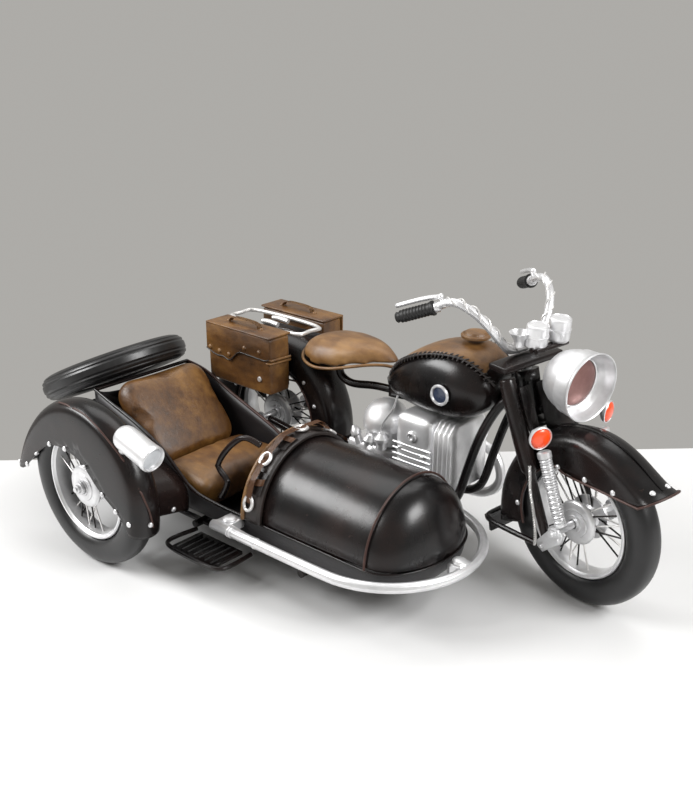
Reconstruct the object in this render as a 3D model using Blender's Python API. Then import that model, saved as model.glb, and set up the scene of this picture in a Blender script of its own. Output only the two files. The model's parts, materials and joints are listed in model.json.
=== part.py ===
"""Tin motorcycle with sidecar, every sub-part its own named solid.

The toy is laid out in wheel radii: x runs forward from the middle of the bike's
front wheel, y to the rider's left from the bike's centre line, z up from the ground.
Every builder scales its piece by WHEEL_RADIUS and moves it so that the origin sits
under the middle of the whole toy.
"""
import math

import bmesh
import bpy
from mathutils import Matrix, Vector

# ---- driving dimensions (wheel radii unless a comment says otherwise) --------
WHEEL_RADIUS = 0.050            # metres
ORIGIN_X = 3.0821              # from the origin forward to x = 0
ORIGIN_Y = 1.1457              # from the origin left to y = 0
GAP = 0.007                     # clearance between pieces that touch (0.35 mm)
SHEET = 0.022                   # thickness of the tin sheet

TYRE_SIDES = 24
TYRE_HALF = 0.165
RIM_SEAT = 0.66
RIM_HALF = 0.13
HUB_BORE = 0.052
SPOKES = 10

FRONT_X = 0.07                  # front axle with the bars straight
FRONT_Z = 1.004
REAR_AXLE = Vector((-4.72, 0.0, 1.0))
SIDE_AXLE = Vector((-4.74, -3.20, 1.0))
STEER_AT_REST = math.radians(-13.0)
RAKE = math.radians(14.0)
HEAD = Vector((-0.85, 0.0, 2.30))
HEAD_AXIS = Vector((-math.sin(RAKE), 0.0, math.cos(RAKE)))
LEG_Y = 0.378

CAR_Y = -1.55                   # centre line of the sidecar
CAR_HALF = 0.80
SEAM_Z = 0.80
DOME_X = -1.27                  # where the straight cowl turns into the round nose
DOME_LENGTH = 0.50
COWL_REAR_X = -3.00

LAYOUT = Matrix.Scale(WHEEL_RADIUS, 4) @ Matrix.Translation((ORIGIN_X, ORIGIN_Y, 0.0))

# ---- finishes: colour, roughness, metallic ------------------------------------
FINISHES = {
    "black_paint": ((0.022, 0.019, 0.018), 0.38, 0.0),
    "grey_paint": ((0.050, 0.048, 0.050), 0.50, 0.0),
    "silver": ((0.72, 0.72, 0.72), 0.30, 0.9),
    "wire_silver": ((0.62, 0.62, 0.62), 0.35, 0.9),
    "brown_leather": ((0.20, 0.105, 0.035), 0.50, 0.0),
    "copper_glass": ((0.33, 0.20, 0.17), 0.35, 0.3),
    "orange": ((0.80, 0.09, 0.02), 0.35, 0.0),
    "tyre": ((0.020, 0.020, 0.021), 0.62, 0.0),
    "grip_rubber": ((0.014, 0.014, 0.014), 0.70, 0.0),
    "badge": ((0.50, 0.50, 0.52), 0.30, 0.8),
}


def clear_scene():
    for old in list(bpy.data.objects):
        bpy.data.objects.remove(old, do_unlink=True)


def finish_material(name, finish):
    colour, roughness, metallic = FINISHES[finish]
    material = bpy.data.materials.new(f"{name}_{finish}")
    material.use_nodes = True
    shader = material.node_tree.nodes["Principled BSDF"]
    shader.inputs["Base Color"].default_value = (*colour, 1.0)
    shader.inputs["Roughness"].default_value = roughness
    shader.inputs["Metallic"].default_value = metallic
    return material


def attach(obj, body):
    """Hangs a piece on the empty that its body turns about, without moving it."""
    if body is not None:
        obj.parent = body
        obj.matrix_parent_inverse = Matrix.Translation(body["home"]).inverted()


def add_mesh(name, bm, finish, body=None, sharp=32.0):
    """Turns a bmesh in wheel radii into a placed object."""
    bm.transform(LAYOUT)
    bmesh.ops.recalc_face_normals(bm, faces=bm.faces)
    is_closed = all(edge.is_manifold for edge in bm.edges)
    if is_closed and bm.calc_volume(signed=True) < 0.0:
        bmesh.ops.reverse_faces(bm, faces=bm.faces)
    mesh = bpy.data.meshes.new(name)
    bm.to_mesh(mesh)
    bm.free()
    mesh.shade_smooth()
    mesh.set_sharp_from_angle(angle=math.radians(sharp))
    obj = bpy.data.objects.new(name, mesh)
    bpy.context.collection.objects.link(obj)
    obj.data.materials.append(finish_material(name, finish))
    attach(obj, body)
    return obj


def as_cutter(obj):
    obj.hide_render = True
    obj.display_type = "WIRE"


def combine(target, tool, operation="UNION"):
    """Joins or cuts with a second solid, which stays behind as a hidden guide."""
    as_cutter(tool)
    boolean = target.modifiers.new(operation.lower(), "BOOLEAN")
    boolean.operation = operation
    boolean.solver = "EXACT"
    boolean.object = tool


def smooth_path(points, steps=4, closed=False):
    """A Catmull-Rom curve through the given points."""
    points = [Vector(p) for p in points]
    count = len(points)
    spans = count if closed else count - 1
    path = []
    for i in range(spans):
        if closed:
            a, b, c, d = (points[(i + k - 1) % count] for k in range(4))
        else:
            a, b, c, d = (points[min(max(i + k - 1, 0), count - 1)] for k in range(4))
        for s in range(steps):
            t = s / steps
            path.append(0.5 * ((2 * b) + (c - a) * t + (2 * a - 5 * b + 4 * c - d) * t ** 2
                               + (3 * b - a - 3 * c + d) * t ** 3))
    if not closed:
        path.append(points[-1])
    return path


def tube(name, path, radius, finish, body=None, closed=False, sides=8):
    """A round tube along a path, its cross-section carried round the bends without twist."""
    path = [Vector(p) for p in path]
    count = len(path)
    across = None
    rings = []
    for i, place in enumerate(path):
        before = path[(i - 1) % count] if closed or i else place
        after = path[(i + 1) % count] if closed or i + 1 < count else place
        along = (after - before).normalized()
        if across is None:
            across = along.orthogonal()
        across = (across - along * across.dot(along)).normalized()
        other = along.cross(across)
        rings.append([place + radius * (math.cos(math.tau * k / sides) * across
                                        + math.sin(math.tau * k / sides) * other) for k in range(sides)])
    bm = bmesh.new()
    if closed:
        rings.append(rings[0])
    ring_faces(bm, rings, capped=not closed)
    return add_mesh(name, bm, finish, body)


def ring_faces(bm, rings, closed_ring=True, capped=True):
    """Skins a row of equal rings of points with quads, and closes both ends."""
    rows = [[bm.verts.new(p) for p in ring] for ring in rings]
    size = len(rows[0])
    last = size if closed_ring else size - 1
    for near, far in zip(rows, rows[1:]):
        for i in range(last):
            j = (i + 1) % size
            bm.faces.new((near[i], near[j], far[j], far[i]))
    if capped:
        bm.faces.new(rows[0][::-1])
        bm.faces.new(rows[-1])
    bmesh.ops.remove_doubles(bm, verts=bm.verts, dist=0.0005)


def loft(name, rings, finish, body=None, sharp=32.0):
    """A solid skinned over a row of rings."""
    bm = bmesh.new()
    ring_faces(bm, rings)
    return add_mesh(name, bm, finish, body, sharp)


def tin_sheet(name, rows, finish, body=None, thickness=SHEET, sharp=32.0):
    """A sheet-metal shell: rows of points, given their thickness by Solidify."""
    bm = bmesh.new()
    ring_faces(bm, rows, closed_ring=False, capped=False)
    obj = add_mesh(name, bm, finish, body, sharp)
    solid = obj.modifiers.new("sheet", "SOLIDIFY")
    solid.thickness = thickness * WHEEL_RADIUS
    solid.offset = -1.0
    solid.use_even_offset = False
    return obj


def axis_frame(centre, direction):
    """A frame at centre whose local Z points along direction."""
    return Matrix.Translation(centre) @ Vector(direction).to_track_quat("Z", "Y").to_matrix().to_4x4()


def turned_mesh(profile, centre, direction, sides, closed_profile=False):
    """Spins a profile of (radius, height) points about an axis."""
    bm = bmesh.new()
    verts = [bm.verts.new((radius, 0.0, height)) for radius, height in profile]
    edges = [bm.edges.new(pair) for pair in zip(verts, verts[1:])]
    if closed_profile:
        edges.append(bm.edges.new((verts[-1], verts[0])))
    half_step = Matrix.Rotation(math.pi / sides, 4, "Z")
    bmesh.ops.transform(bm, matrix=half_step, verts=bm.verts)
    bmesh.ops.spin(bm, geom=verts + edges, cent=(0, 0, 0), axis=(0, 0, 1),
                   angle=math.tau, steps=sides, use_merge=True, use_duplicate=False)
    bmesh.ops.remove_doubles(bm, verts=bm.verts, dist=0.0005)
    bm.transform(axis_frame(centre, direction))
    return bm


def turned(name, profile, centre, direction, finish, body=None, sides=24, closed_profile=False):
    bm = turned_mesh(profile, centre, direction, sides, closed_profile)
    return add_mesh(name, bm, finish, body)


def block(name, low, high, finish, body=None, edge=0.0, segments=2, turn=None):
    """A box between two corners with rounded edges, turned about its own centre."""
    low = Vector(low)
    high = Vector(high)
    bm = bmesh.new()
    bmesh.ops.create_cube(bm, size=1.0)
    size = high - low
    bmesh.ops.scale(bm, vec=size, verts=bm.verts)
    if edge:
        bmesh.ops.bevel(bm, geom=list(bm.edges), offset=edge, segments=segments,
                        profile=0.5, affect="EDGES", clamp_overlap=True)
    if turn is not None:
        bmesh.ops.transform(bm, matrix=turn, verts=bm.verts)
    bmesh.ops.translate(bm, vec=(low + high) / 2, verts=bm.verts)
    return add_mesh(name, bm, finish, body)


def turning_empty(name, home, turn=None, parent=None):
    """An empty on a joint's axis. Its pieces are drawn as if it weren't turned."""
    empty = bpy.data.objects.new(name, None)
    bpy.context.collection.objects.link(empty)
    place = LAYOUT @ Vector(home)
    empty["home"] = tuple(place)
    turned_by = turn if turn is not None else Matrix.Identity(4)
    if parent is None:
        empty.matrix_world = Matrix.Translation(place) @ turned_by
    else:
        empty.parent = parent
        empty.matrix_parent_inverse = Matrix.Translation(parent["home"]).inverted()
        empty.matrix_basis = Matrix.Translation(place) @ turned_by
    return empty


def front(x, y, z):
    """A place on the steered assembly, measured from the front axle."""
    return Vector((FRONT_X + x, y, FRONT_Z + z))


# ---- wheels -------------------------------------------------------------------
def tyre_profile():
    """Cross-section with a narrow flat tread whose facets lie at radius 1."""
    tread = 1.0 / math.cos(math.pi / TYRE_SIDES)
    half = [(RIM_SEAT + 0.02, 0.11), (0.74, 0.15), (0.83, TYRE_HALF), (0.92, 0.135), (tread, 0.06)]
    return half + [(radius, -height) for radius, height in reversed(half)]


def wheel(prefix, centre, body):
    axis = (0, 1, 0)
    turned(f"{prefix}_tyre", tyre_profile(), centre, axis, "tyre", body,
           sides=TYRE_SIDES, closed_profile=True)
    outer = RIM_SEAT + 0.02 - GAP
    rim_profile = [(0.60, -RIM_HALF), (RIM_SEAT - 0.02, -RIM_HALF), (outer, -0.10), (outer, 0.10),
                   (RIM_SEAT - 0.02, RIM_HALF), (0.60, RIM_HALF), (0.58, 0.0)]
    rim = turned(f"{prefix}_wheel", rim_profile, centre, axis, "silver", body, sides=TYRE_SIDES,
                 closed_profile=True)
    hub_profile = [(0.0, -0.20), (0.20, -0.20), (0.26, -0.16), (0.14, -0.10), (0.14, 0.10),
                   (0.26, 0.16), (0.20, 0.20), (0.0, 0.20)]
    hub = turned(f"{prefix}_hub_guide", hub_profile, centre, axis, "silver", body, sides=14)
    outline = []
    for i in range(SPOKES):
        angle = math.tau * i / SPOKES
        for reach, side in ((0.12, -1), (0.62, -1), (0.62, 1), (0.12, 1)):
            turn = side * 0.018 / reach
            outline.append((reach * math.cos(angle + turn), reach * math.sin(angle + turn)))
    rings = [[Vector(centre) + Vector((x, depth, z)) for x, z in outline] for depth in (-0.03, 0.03)]
    spokes = loft(f"{prefix}_spoke_guide", rings, "silver", body)
    bore = turned(f"{prefix}_bore_guide", [(0.0, -0.30), (HUB_BORE, -0.30), (HUB_BORE, 0.30), (0.0, 0.30)],
                  centre, axis, "silver", body, sides=14)
    combine(rim, spokes)
    combine(rim, hub)
    combine(rim, bore, "DIFFERENCE")


# ---- mudguards ------------------------------------------------------------------
def arch_rows(centre, stations):
    """Rows of points across an arch. A station is its angle in degrees, the crown's radius,
    the side edges' radii and the side edges' y offsets."""
    rows = []
    for degrees, crown, low_right, low_left, right, left in stations:
        angle = math.radians(degrees)
        middle = (left + right) / 2
        half = (left - right) / 2
        section = [(right, low_right), (right, (low_right + crown - 0.16) / 2)]
        for step in range(7):
            across = math.radians(180 - 30 * step)
            section.append((middle + half * math.cos(across), crown - 0.16 + 0.16 * math.sin(across)))
        section += [(left, (low_left + crown - 0.16) / 2), (left, low_left)]
        rows.append([Vector((centre[0] + radius * math.cos(angle), centre[1] + y,
                             centre[2] + radius * math.sin(angle))) for y, radius in section])
    return rows


def front_fender(body):
    half = 0.262
    valance_z = 0.62
    stations = []
    for degrees, crown in ((34.5, 1.32), (38, 1.25), (44, 1.20), (54, 1.165), (66, 1.15), (80, 1.14),
                           (95, 1.12), (110, 1.10), (130, 1.09), (150, 1.10), (168, 1.13), (184, 1.17),
                           (200, 1.22)):
        low = valance_z / math.sin(math.radians(degrees)) if degrees < 105 else 0.70
        low = min(low, crown - 0.17)
        stations.append((degrees, crown, low, low, -half, half))
    tin_sheet("front_fender", arch_rows(front(0, 0, 0), stations), "black_paint", body)


def rear_fender():
    half = 0.27
    stations = []
    for degrees in range(-6, 201, 16):
        low = 0.80 if degrees < 60 else 0.62
        stations.append((degrees, 1.19, low, low, -half, half))
    tin_sheet("rear_fender", arch_rows(REAR_AXLE, stations), "black_paint")


def sidecar_fender():
    """A hoop over the wheel with a deep outer skirt, and a shelf that joins it to the tub.

    A station is the angle, the crown's radius, the skirt's lower radius and the shelf's
    place on the tub's side."""
    stations = (
        (-18, 1.11, 0.95, -4.04, 0.56), (-9, 1.10, 0.84, -4.02, 0.68), (2, 1.09, 0.58, -4.02, 0.80),
        (16, 1.085, 0.43, -4.08, 0.90), (31, 1.08, 0.38, -4.20, 0.99), (46, 1.075, 0.37, -4.32, 1.04),
        (61, 1.07, 0.38, -4.46, 1.09), (76, 1.07, 0.40, -4.63, 1.14), (92, 1.07, 0.43, -4.82, 1.20),
        (111, 1.075, 0.49, -5.06, 1.29), (130, 1.09, 0.60, -5.30, 1.38),
        (150, 1.13, 0.72, -5.52, 1.44), (165, 1.20, 0.82, -5.66, 1.42), (178, 1.29, 1.00, -5.78, 1.30),
        (184, 1.34, 1.12, -5.82, 1.22))
    outer = -0.225
    inner = 0.195
    tub_side = CAR_Y - CAR_HALF - 0.012 - SIDE_AXLE.y
    rows = []
    for degrees, crown, low, shelf_x, shelf_z in stations:
        angle = math.radians(degrees)
        middle = (inner + outer) / 2
        half = (inner - outer) / 2
        section = [(outer, low), (outer, (low + crown - 0.14) / 2)]
        for step in range(7):
            across = math.radians(180 - 30 * step)
            section.append((middle + half * math.cos(across), crown - 0.14 + 0.14 * math.sin(across)))
        row = [SIDE_AXLE + Vector((r * math.cos(angle), y, r * math.sin(angle))) for y, r in section]
        row += [Vector((shelf_x, SIDE_AXLE.y + inner + 0.01, shelf_z + 0.12)),
                Vector((shelf_x, SIDE_AXLE.y + tub_side, shelf_z))]
        rows.append(row)
    tin_sheet("sidecar_fender", rows, "black_paint")


# ---- frame and engine ---------------------------------------------------------
def frame():
    backbone = turned("backbone", [(0.075, -0.30), (0.14, -0.30), (0.14, 0.22), (0.075, 0.22)],
                      HEAD, HEAD_AXIS, "black_paint", sides=20, closed_profile=True)
    spine = loft("spine_guide", [
        [Vector((x, y, z + dz)) for y, dz in ((-0.07, -0.09), (0.07, -0.09), (0.07, 0.09), (-0.07, 0.09))]
        for x, z in ((HEAD.x - 0.09, 2.12), (-1.30, 2.02), (-2.62, 1.80), (-2.80, 1.80))], "black_paint")
    combine(backbone, spine)
    for side, name in ((1, "left"), (-1, "right")):
        y = 0.27 * side
        path = smooth_path([
            (-1.02, 0.20 * side, 2.14), (-1.12, 0.23 * side, 2.02), (-1.30, y, 1.62), (-1.46, y, 1.08),
            (-1.56, y, 0.76), (-1.80, y, 0.60), (-2.40, y, 0.56), (-3.30, y, 0.58), (-3.62, 0.33 * side, 0.72),
            (-4.05, 0.36 * side, 0.90), (-4.62, 0.36 * side, 0.985)], 2)
        tube(f"frame_tube_{name}", path, 0.052, "black_paint")
    seat_rail = smooth_path([(-2.81, 0.0, 1.78), (-3.10, 0.0, 1.76), (-3.45, 0.0, 1.70), (-3.64, 0.0, 1.76),
                             (-3.68, 0.0, 1.88), (-3.62, 0.0, 1.96)], 3)
    tube("seat_rail", seat_rail, 0.05, "black_paint")


def engine():
    block("engine_case", (-2.46, -0.41, 0.70), (-1.88, 0.41, 1.72), "silver", edge=0.14, segments=3)
    ribs = 4
    rings = []
    for i in range(ribs * 2 + 1):
        x = -1.87 + 0.27 * i / (ribs * 2)
        swell = 0.025 if i % 2 else 0.0
        wide = 0.37 + swell
        top = 1.68 + swell
        rings.append([Vector((x, y, z)) for y, z in (
            (-wide, 0.82), (-wide, top - 0.12), (-wide + 0.12, top), (wide - 0.12, top),
            (wide, top - 0.12), (wide, 0.82))])
    loft("front_cover", rings, "silver")
    block("gearbox", (-3.30, -0.32, 0.70), (-2.47, 0.32, 1.12), "silver", edge=0.08)
    turned("air_filter", [(0.0, -0.30), (0.22, -0.30), (0.25, -0.26), (0.25, -0.10), (0.29, -0.08),
                          (0.29, 0.05), (0.24, 0.17), (0.14, 0.25), (0.0, 0.28)],
           (-2.77, -0.14, 1.43), (0, 0, 1), "silver")
    fins = [(0.0, 0.0)]
    for i in range(3):
        y = i * 0.12
        fins += [(0.29, y), (0.29, y + 0.07), (0.24, y + 0.07), (0.24, y + 0.12)]
    fins += [(0.27, 0.36), (0.27, 0.43), (0.20, 0.49), (0.0, 0.50)]
    turned("cylinder_left", fins, (-2.14, 0.42, 1.22), (0, 1, 0), "silver", sides=16)
    pipe = smooth_path([(-1.82, 0.62, 1.12), (-1.62, 0.62, 1.05), (-1.48, 0.60, 0.78), (-1.60, 0.60, 0.54),
                        (-1.90, 0.60, 0.44), (-2.60, 0.60, 0.44), (-3.40, 0.62, 0.48)], 2)
    exhaust = tube("exhaust_pipe", pipe, 0.062, "silver")
    silencer = turned("silencer_guide", [(0.0, 0.0), (0.075, 0.0), (0.13, 0.18), (0.13, 1.30), (0.09, 1.52),
                                         (0.05, 1.52), (0.05, 1.40), (0.0, 1.40)],
                      (-3.34, 0.62, 0.477), (-1, 0, 0.05), "silver", sides=20)
    combine(exhaust, silencer)


# ---- tank and saddle -----------------------------------------------------------
TANK = (            # x, half width, bottom, seam, crown, seam half width
    (-2.84, 0.06, 1.93, 1.97, 1.985, 0.04),
    (-2.72, 0.20, 1.86, 2.045, 2.06, 0.15),
    (-2.50, 0.35, 1.80, 2.27, 2.31, 0.27),
    (-2.20, 0.45, 1.77, 2.44, 2.50, 0.345),
    (-1.92, 0.49, 1.76, 2.53, 2.61, 0.37),
    (-1.62, 0.50, 1.78, 2.56, 2.66, 0.36),
    (-1.42, 0.47, 1.84, 2.51, 2.62, 0.33),
    (-1.27, 0.41, 1.94, 2.40, 2.52, 0.28),
    (-1.17, 0.31, 2.04, 2.28, 2.38, 0.21),
)


def tank():
    rings = []
    panel = []
    for x, half, bottom, seam, crown, seam_half in TANK:
        middle = bottom + 0.45 * (seam - bottom)
        right = [(-half * 0.55, bottom), (-half * 0.90, bottom + 0.30 * (middle - bottom)), (-half, middle),
                 (-half * 0.95, middle + 0.55 * (seam - middle)), (-seam_half, seam),
                 (-seam_half * 0.55, seam + 0.75 * (crown - seam))]
        ring = right + [(0.0, crown)] + [(-y, z) for y, z in reversed(right)]
        rings.append([Vector((x, y, z)) for y, z in ring])
        edge = seam_half * 0.98
        lower = [(-edge, seam + 0.012), (-edge * 0.55, seam + 0.75 * (crown - seam) + 0.012),
                 (0.0, crown + 0.010), (edge * 0.55, seam + 0.75 * (crown - seam) + 0.012),
                 (edge, seam + 0.012)]
        upper = [(y, z + 0.035) for y, z in reversed(lower)]
        panel.append([Vector((x, y, z)) for y, z in lower + upper])
    body = loft("tank", rings, "black_paint", sharp=50)
    tunnel = loft("tunnel_guide", [
        [Vector((x, y, z)) for y, z in ((-0.10, 1.50), (0.10, 1.50), (0.10, top), (-0.10, top))]
        for x, top in ((-0.92, 2.25), (-1.30, 2.135), (-2.62, 1.915), (-2.95, 1.915))], "black_paint")
    combine(body, tunnel, "DIFFERENCE")
    loft("tank_top_panel", panel[1:-1], "brown_leather", sharp=60)
    turned("filler_cap", [(0.0, 0.0), (0.13, 0.0), (0.175, 0.02), (0.175, 0.05), (0.15, 0.08), (0.0, 0.09)],
           (-1.60, 0.0, 2.715), (0.0, 0, 1), "brown_leather", sides=20)
    turned("tank_disc", [(0.0, 0.0), (0.115, 0.0), (0.125, 0.015), (0.10, 0.03), (0.0, 0.035)],
           (-1.71, -0.512, 2.13), (0.0, -1, -0.02), "badge", sides=20)


def saddle():
    rings = []
    for x, half, low, top in ((-4.12, 0.18, 2.06, 2.17), (-4.00, 0.36, 2.00, 2.26), (-3.76, 0.45, 1.96, 2.33),
                              (-3.48, 0.45, 1.99, 2.35), (-3.22, 0.36, 2.06, 2.34), (-3.00, 0.24, 2.11, 2.31),
                              (-2.84, 0.14, 2.13, 2.26), (-2.72, 0.07, 2.12, 2.18)):
        rings.append([Vector((x, half * y, low + (top - low) * z)) for y, z in (
            (-0.60, 0.18), (-1.0, 0.0), (-1.0, 0.30), (-0.85, 0.70), (-0.5, 0.93), (0.0, 1.0), (0.5, 0.93),
            (0.85, 0.70), (1.0, 0.30), (1.0, 0.0), (0.60, 0.18))])
    loft("saddle", rings, "brown_leather", sharp=60)


# ---- luggage --------------------------------------------------------------------
def luggage():
    for side, name in ((1, "left"), (-1, "right")):
        low, high = sorted((0.325 * side, 0.705 * side))
        block(f"pannier_{name}", (-5.43, low, 1.50), (-4.26, high, 2.27), "brown_leather", edge=0.04)
    corners = [(-5.40, -0.24, 2.24), (-4.30, -0.24, 2.24), (-4.22, 0.0, 2.24), (-4.30, 0.24, 2.24),
               (-5.40, 0.24, 2.24), (-5.50, 0.0, 2.24)]
    tube("luggage_rack", smooth_path(corners, 3, closed=True), 0.025, "wire_silver", closed=True)


# ---- steered assembly -------------------------------------------------------------
def fork(body):
    leg_top = front(-0.90, 0, 1.50)
    leg_bottom = front(-0.20, 0, -0.16)
    lean = (leg_top - leg_bottom).normalized()
    length = (leg_top - leg_bottom).length
    for side, name in ((1, "left"), (-1, "right")):
        y = LEG_Y * side
        foot = Vector((leg_bottom.x, y, leg_bottom.z))
        turned(f"fork_leg_{name}", [(0.0, 0.0), (0.05, 0.0), (0.055, 0.05), (0.055, 0.72), (0.090, 0.76),
                                    (0.100, 0.84), (0.100, length - 0.04), (0.08, length), (0.0, length)],
               foot, lean, "black_paint", body, sides=16)
        spring = [(0.0, 0.0), (0.055, 0.0), (0.068, 0.04), (0.068, 0.76), (0.08, 0.78), (0.08, 0.84), (0.0, 0.85)]
        bottom = front(0.080, y + 0.085 * side, 0.115)
        top = front(-0.200, y + 0.085 * side, 0.84)
        turned(f"spring_{name}", spring, bottom, top - bottom, "silver", body, sides=12)
        cup = front(-0.35, 0.49 * side, 1.09)
        turned(f"turn_signal_{name}", [(0.0, 0.0), (0.045, 0.0), (0.045, 0.06), (0.12, 0.10), (0.125, 0.15),
                                       (0.115, 0.17), (0.07, 0.195), (0.0, 0.20)],
               cup, (0.95, 0.30 * side, -0.05), "orange", body, sides=20)
    turned("steering_stem", [(0.0, -0.315), (0.066, -0.315), (0.066, 0.235), (0.0, 0.235)], HEAD, HEAD_AXIS,
           "silver", body, sides=16)


def yokes(body):
    """Plates across the fork, joined to the stem's ends and bored for the legs."""
    top = HEAD + HEAD_AXIS * 0.33
    low = HEAD - HEAD_AXIS * 0.39
    block("top_yoke", (top.x - 0.12, -0.46, top.z - 0.045), (top.x + 0.15, 0.46, top.z + 0.045),
          "black_paint", body, edge=0.03)
    block("lower_yoke", (low.x - 0.12, -0.265, low.z - 0.05), (low.x + 0.12, 0.265, low.z + 0.05),
          "black_paint", body, edge=0.03)


def front_axle(body):
    """The axle with the two silver link arms that carry it."""
    axle = turned("front_axle", [(0.0, -0.46), (0.045, -0.46), (0.045, 0.46), (0.0, 0.46)], front(0, 0, 0),
                  (0, 1, 0), "silver", body, sides=12)
    for side, name in ((1, "left"), (-1, "right")):
        arm = [(-0.22, -0.26), (-0.14, -0.30), (0.10, -0.10), (0.13, 0.0), (0.08, 0.05), (-0.06, 0.02),
               (-0.24, -0.20)]
        rings = [[front(x, (LEG_Y + depth) * side, z) for x, z in arm] for depth in (0.062, 0.105)]
        link = loft(f"link_guide_{name}", rings, "silver", body)
        combine(axle, link)


def cockpit(body):
    """Headlamp, gauges and handlebar."""
    shell = [(0.0, -0.52), (0.14, -0.50), (0.26, -0.42), (0.335, -0.28), (0.365, -0.10), (0.385, 0.02),
             (0.375, 0.04), (0.345, 0.02), (0.325, -0.10), (0.24, -0.20), (0.0, -0.21)]
    lamp = front(-0.06, 0, 1.57)
    turned("headlight_shell", shell, lamp, (1, 0, -0.06), "silver", body, sides=20)
    glass = lamp + Vector((1, 0, -0.06)).normalized() * -0.198
    turned("headlight_lens", [(0.0, 0.0), (0.22, 0.0), (0.215, 0.02), (0.12, 0.035), (0.0, 0.04)], glass,
           (1, 0, -0.06), "copper_glass", body)
    gauges = ((-0.66, 0.15, 2.03, 0.125), (-0.72, -0.13, 2.00, 0.125))
    drums = []
    for index, (x, y, z, radius) in enumerate(gauges):
        drum = [(0.0, -0.13), (radius, -0.13), (radius, 0.11), (radius - 0.02, 0.13), (0.0, 0.13)]
        name = "gauge_cluster" if index == 0 else "gauge_guide"
        drums.append(turned(name, drum, front(x, y, z), (0.1, 0, 1), "silver", body, sides=16))
    shelf = block("gauge_shelf_guide", front(-0.80, -0.20, 1.85), front(-0.62, 0.20, 1.91), "silver", body)
    combine(drums[0], drums[1])
    combine(drums[0], shelf)
    half = [(-1.09, 0.10, 1.72), (-1.07, 0.24, 1.78), (-1.08, 0.40, 1.97), (-1.20, 0.57, 2.21),
            (-1.40, 0.68, 2.32), (-1.56, 0.715, 2.28)]
    grip_in = Vector((-1.68, 0.75, 2.21))
    grip_out = Vector((-2.06, 0.98, 2.05))
    bar_end = grip_in + (grip_out - grip_in).normalized() * 0.30
    right = [front(x, -y, z) for x, y, z in half]
    left = [front(x, y, z) for x, y, z in half]
    right_end = [front(p.x, -p.y, p.z) for p in (bar_end, grip_in)]
    left_end = [front(p.x, p.y, p.z) for p in (grip_in, bar_end)]
    bar = smooth_path(right_end + right[::-1] + [front(-1.09, 0.0, 1.72)] + left + left_end, 2)
    handlebar = tube("handlebar", bar, 0.040, "silver", body)
    for side, name in ((1, "left"), (-1, "right")):
        inner = front(grip_in.x, grip_in.y * side, grip_in.z)
        outer = front(grip_out.x, grip_out.y * side, grip_out.z)
        length = (outer - inner).length
        grip = [(0.0, 0.33), (0.049, 0.33), (0.049, 0.0), (0.085, 0.0)]
        grip += [(0.085, 0.03), (0.074, 0.05), (0.074, length - 0.03), (0.06, length), (0.0, length)]
        turned(f"grip_{name}", grip, inner, outer - inner, "grip_rubber", body, sides=12)
        along = (outer - inner).normalized()
        lift = Vector((0, 0, 0.14))
        lever = [inner - along * 0.10, inner - along * 0.06 + lift * 0.8, inner * 0.6 + outer * 0.4 + lift,
                 outer + lift]
        wire = tube(f"lever_guide_{name}", smooth_path(lever, 2), 0.020, "wire_silver", body, sides=6)
        combine(handlebar, wire)


def crash_bar(body):
    """The flat bar from the fork's feet round the back of the mudguard, with its flap."""
    outline = [(-0.24, 0.36), (-0.92, 0.36), (-1.18, 0.32), (-1.25, 0.20)]
    half = [front(x, y, -0.33 - 0.06 * (x + 0.24) / -1.0) for x, y in outline]
    mirrored = [Vector((p.x, -p.y, p.z)) for p in reversed(half)]
    bar = tube("crash_bar", smooth_path(half + mirrored, 2), 0.032, "black_paint", body)
    rings = [[front(x, y, z) for y, z in ((-0.24, -0.38), (0.24, -0.38), (0.20, -0.64), (-0.20, -0.64))]
             for x in (-1.265, -1.235)]
    combine(bar, loft("mud_flap_guide", rings, "grip_rubber", body))


# ---- sidecar ------------------------------------------------------------------------
def hull_stations():
    """x, half width, top on the near and far side, and bottom along the tub."""
    stations = [(-5.80, 0.78, 1.66, 1.66, 0.62), (-5.45, 0.80, 1.57, 1.60, 0.50), (-4.95, 0.80, 1.42, 1.40, 0.42),
                (-4.50, 0.80, 1.22, 1.24, 0.38), (-4.20, 0.80, 1.00, 1.13, 0.37), (-3.95, 0.80, 0.84, 1.02, 0.36),
                (-3.50, 0.80, 0.79, 0.90, 0.36), (COWL_REAR_X, 0.80, 0.79, 0.79, 0.36),
                (-2.10, 0.80, 0.79, 0.79, 0.36), (DOME_X, 0.80, 0.79, 0.79, 0.36)]
    for degrees in (22, 42, 60, 76, 90):
        swing = math.radians(degrees)
        shrink = math.cos(swing)
        stations.append((DOME_X + DOME_LENGTH * math.sin(swing), 0.80 * shrink, 0.79, 0.79,
                         0.79 - 0.43 * shrink))
    return stations


def sidecar_tub():
    rows = []
    for x, half, near_top, far_top, bottom in hull_stations():
        shoulder = bottom + (0.79 - bottom) * 0.72
        section = [(-half, near_top)]
        for step in range(9):
            angle = math.radians(180 + 22.5 * step)
            section.append((half * math.copysign(abs(math.cos(angle)) ** 0.6, math.cos(angle)),
                            shoulder + (shoulder - bottom) * math.sin(angle)))
        section.append((half, far_top))
        rows.append([Vector((x, CAR_Y + y, z)) for y, z in section])
    x = hull_stations()[0][0]
    back = [Vector((x, CAR_Y + (p.y - CAR_Y) * 0.5, (p.z + 1.2) / 2)) for p in rows[0]]
    heart = [Vector((x, CAR_Y, 1.2))] * len(back)
    tub = tin_sheet("sidecar_tub", [heart, back] + rows, "grey_paint", sharp=40)
    combine(tub, boot())


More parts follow.
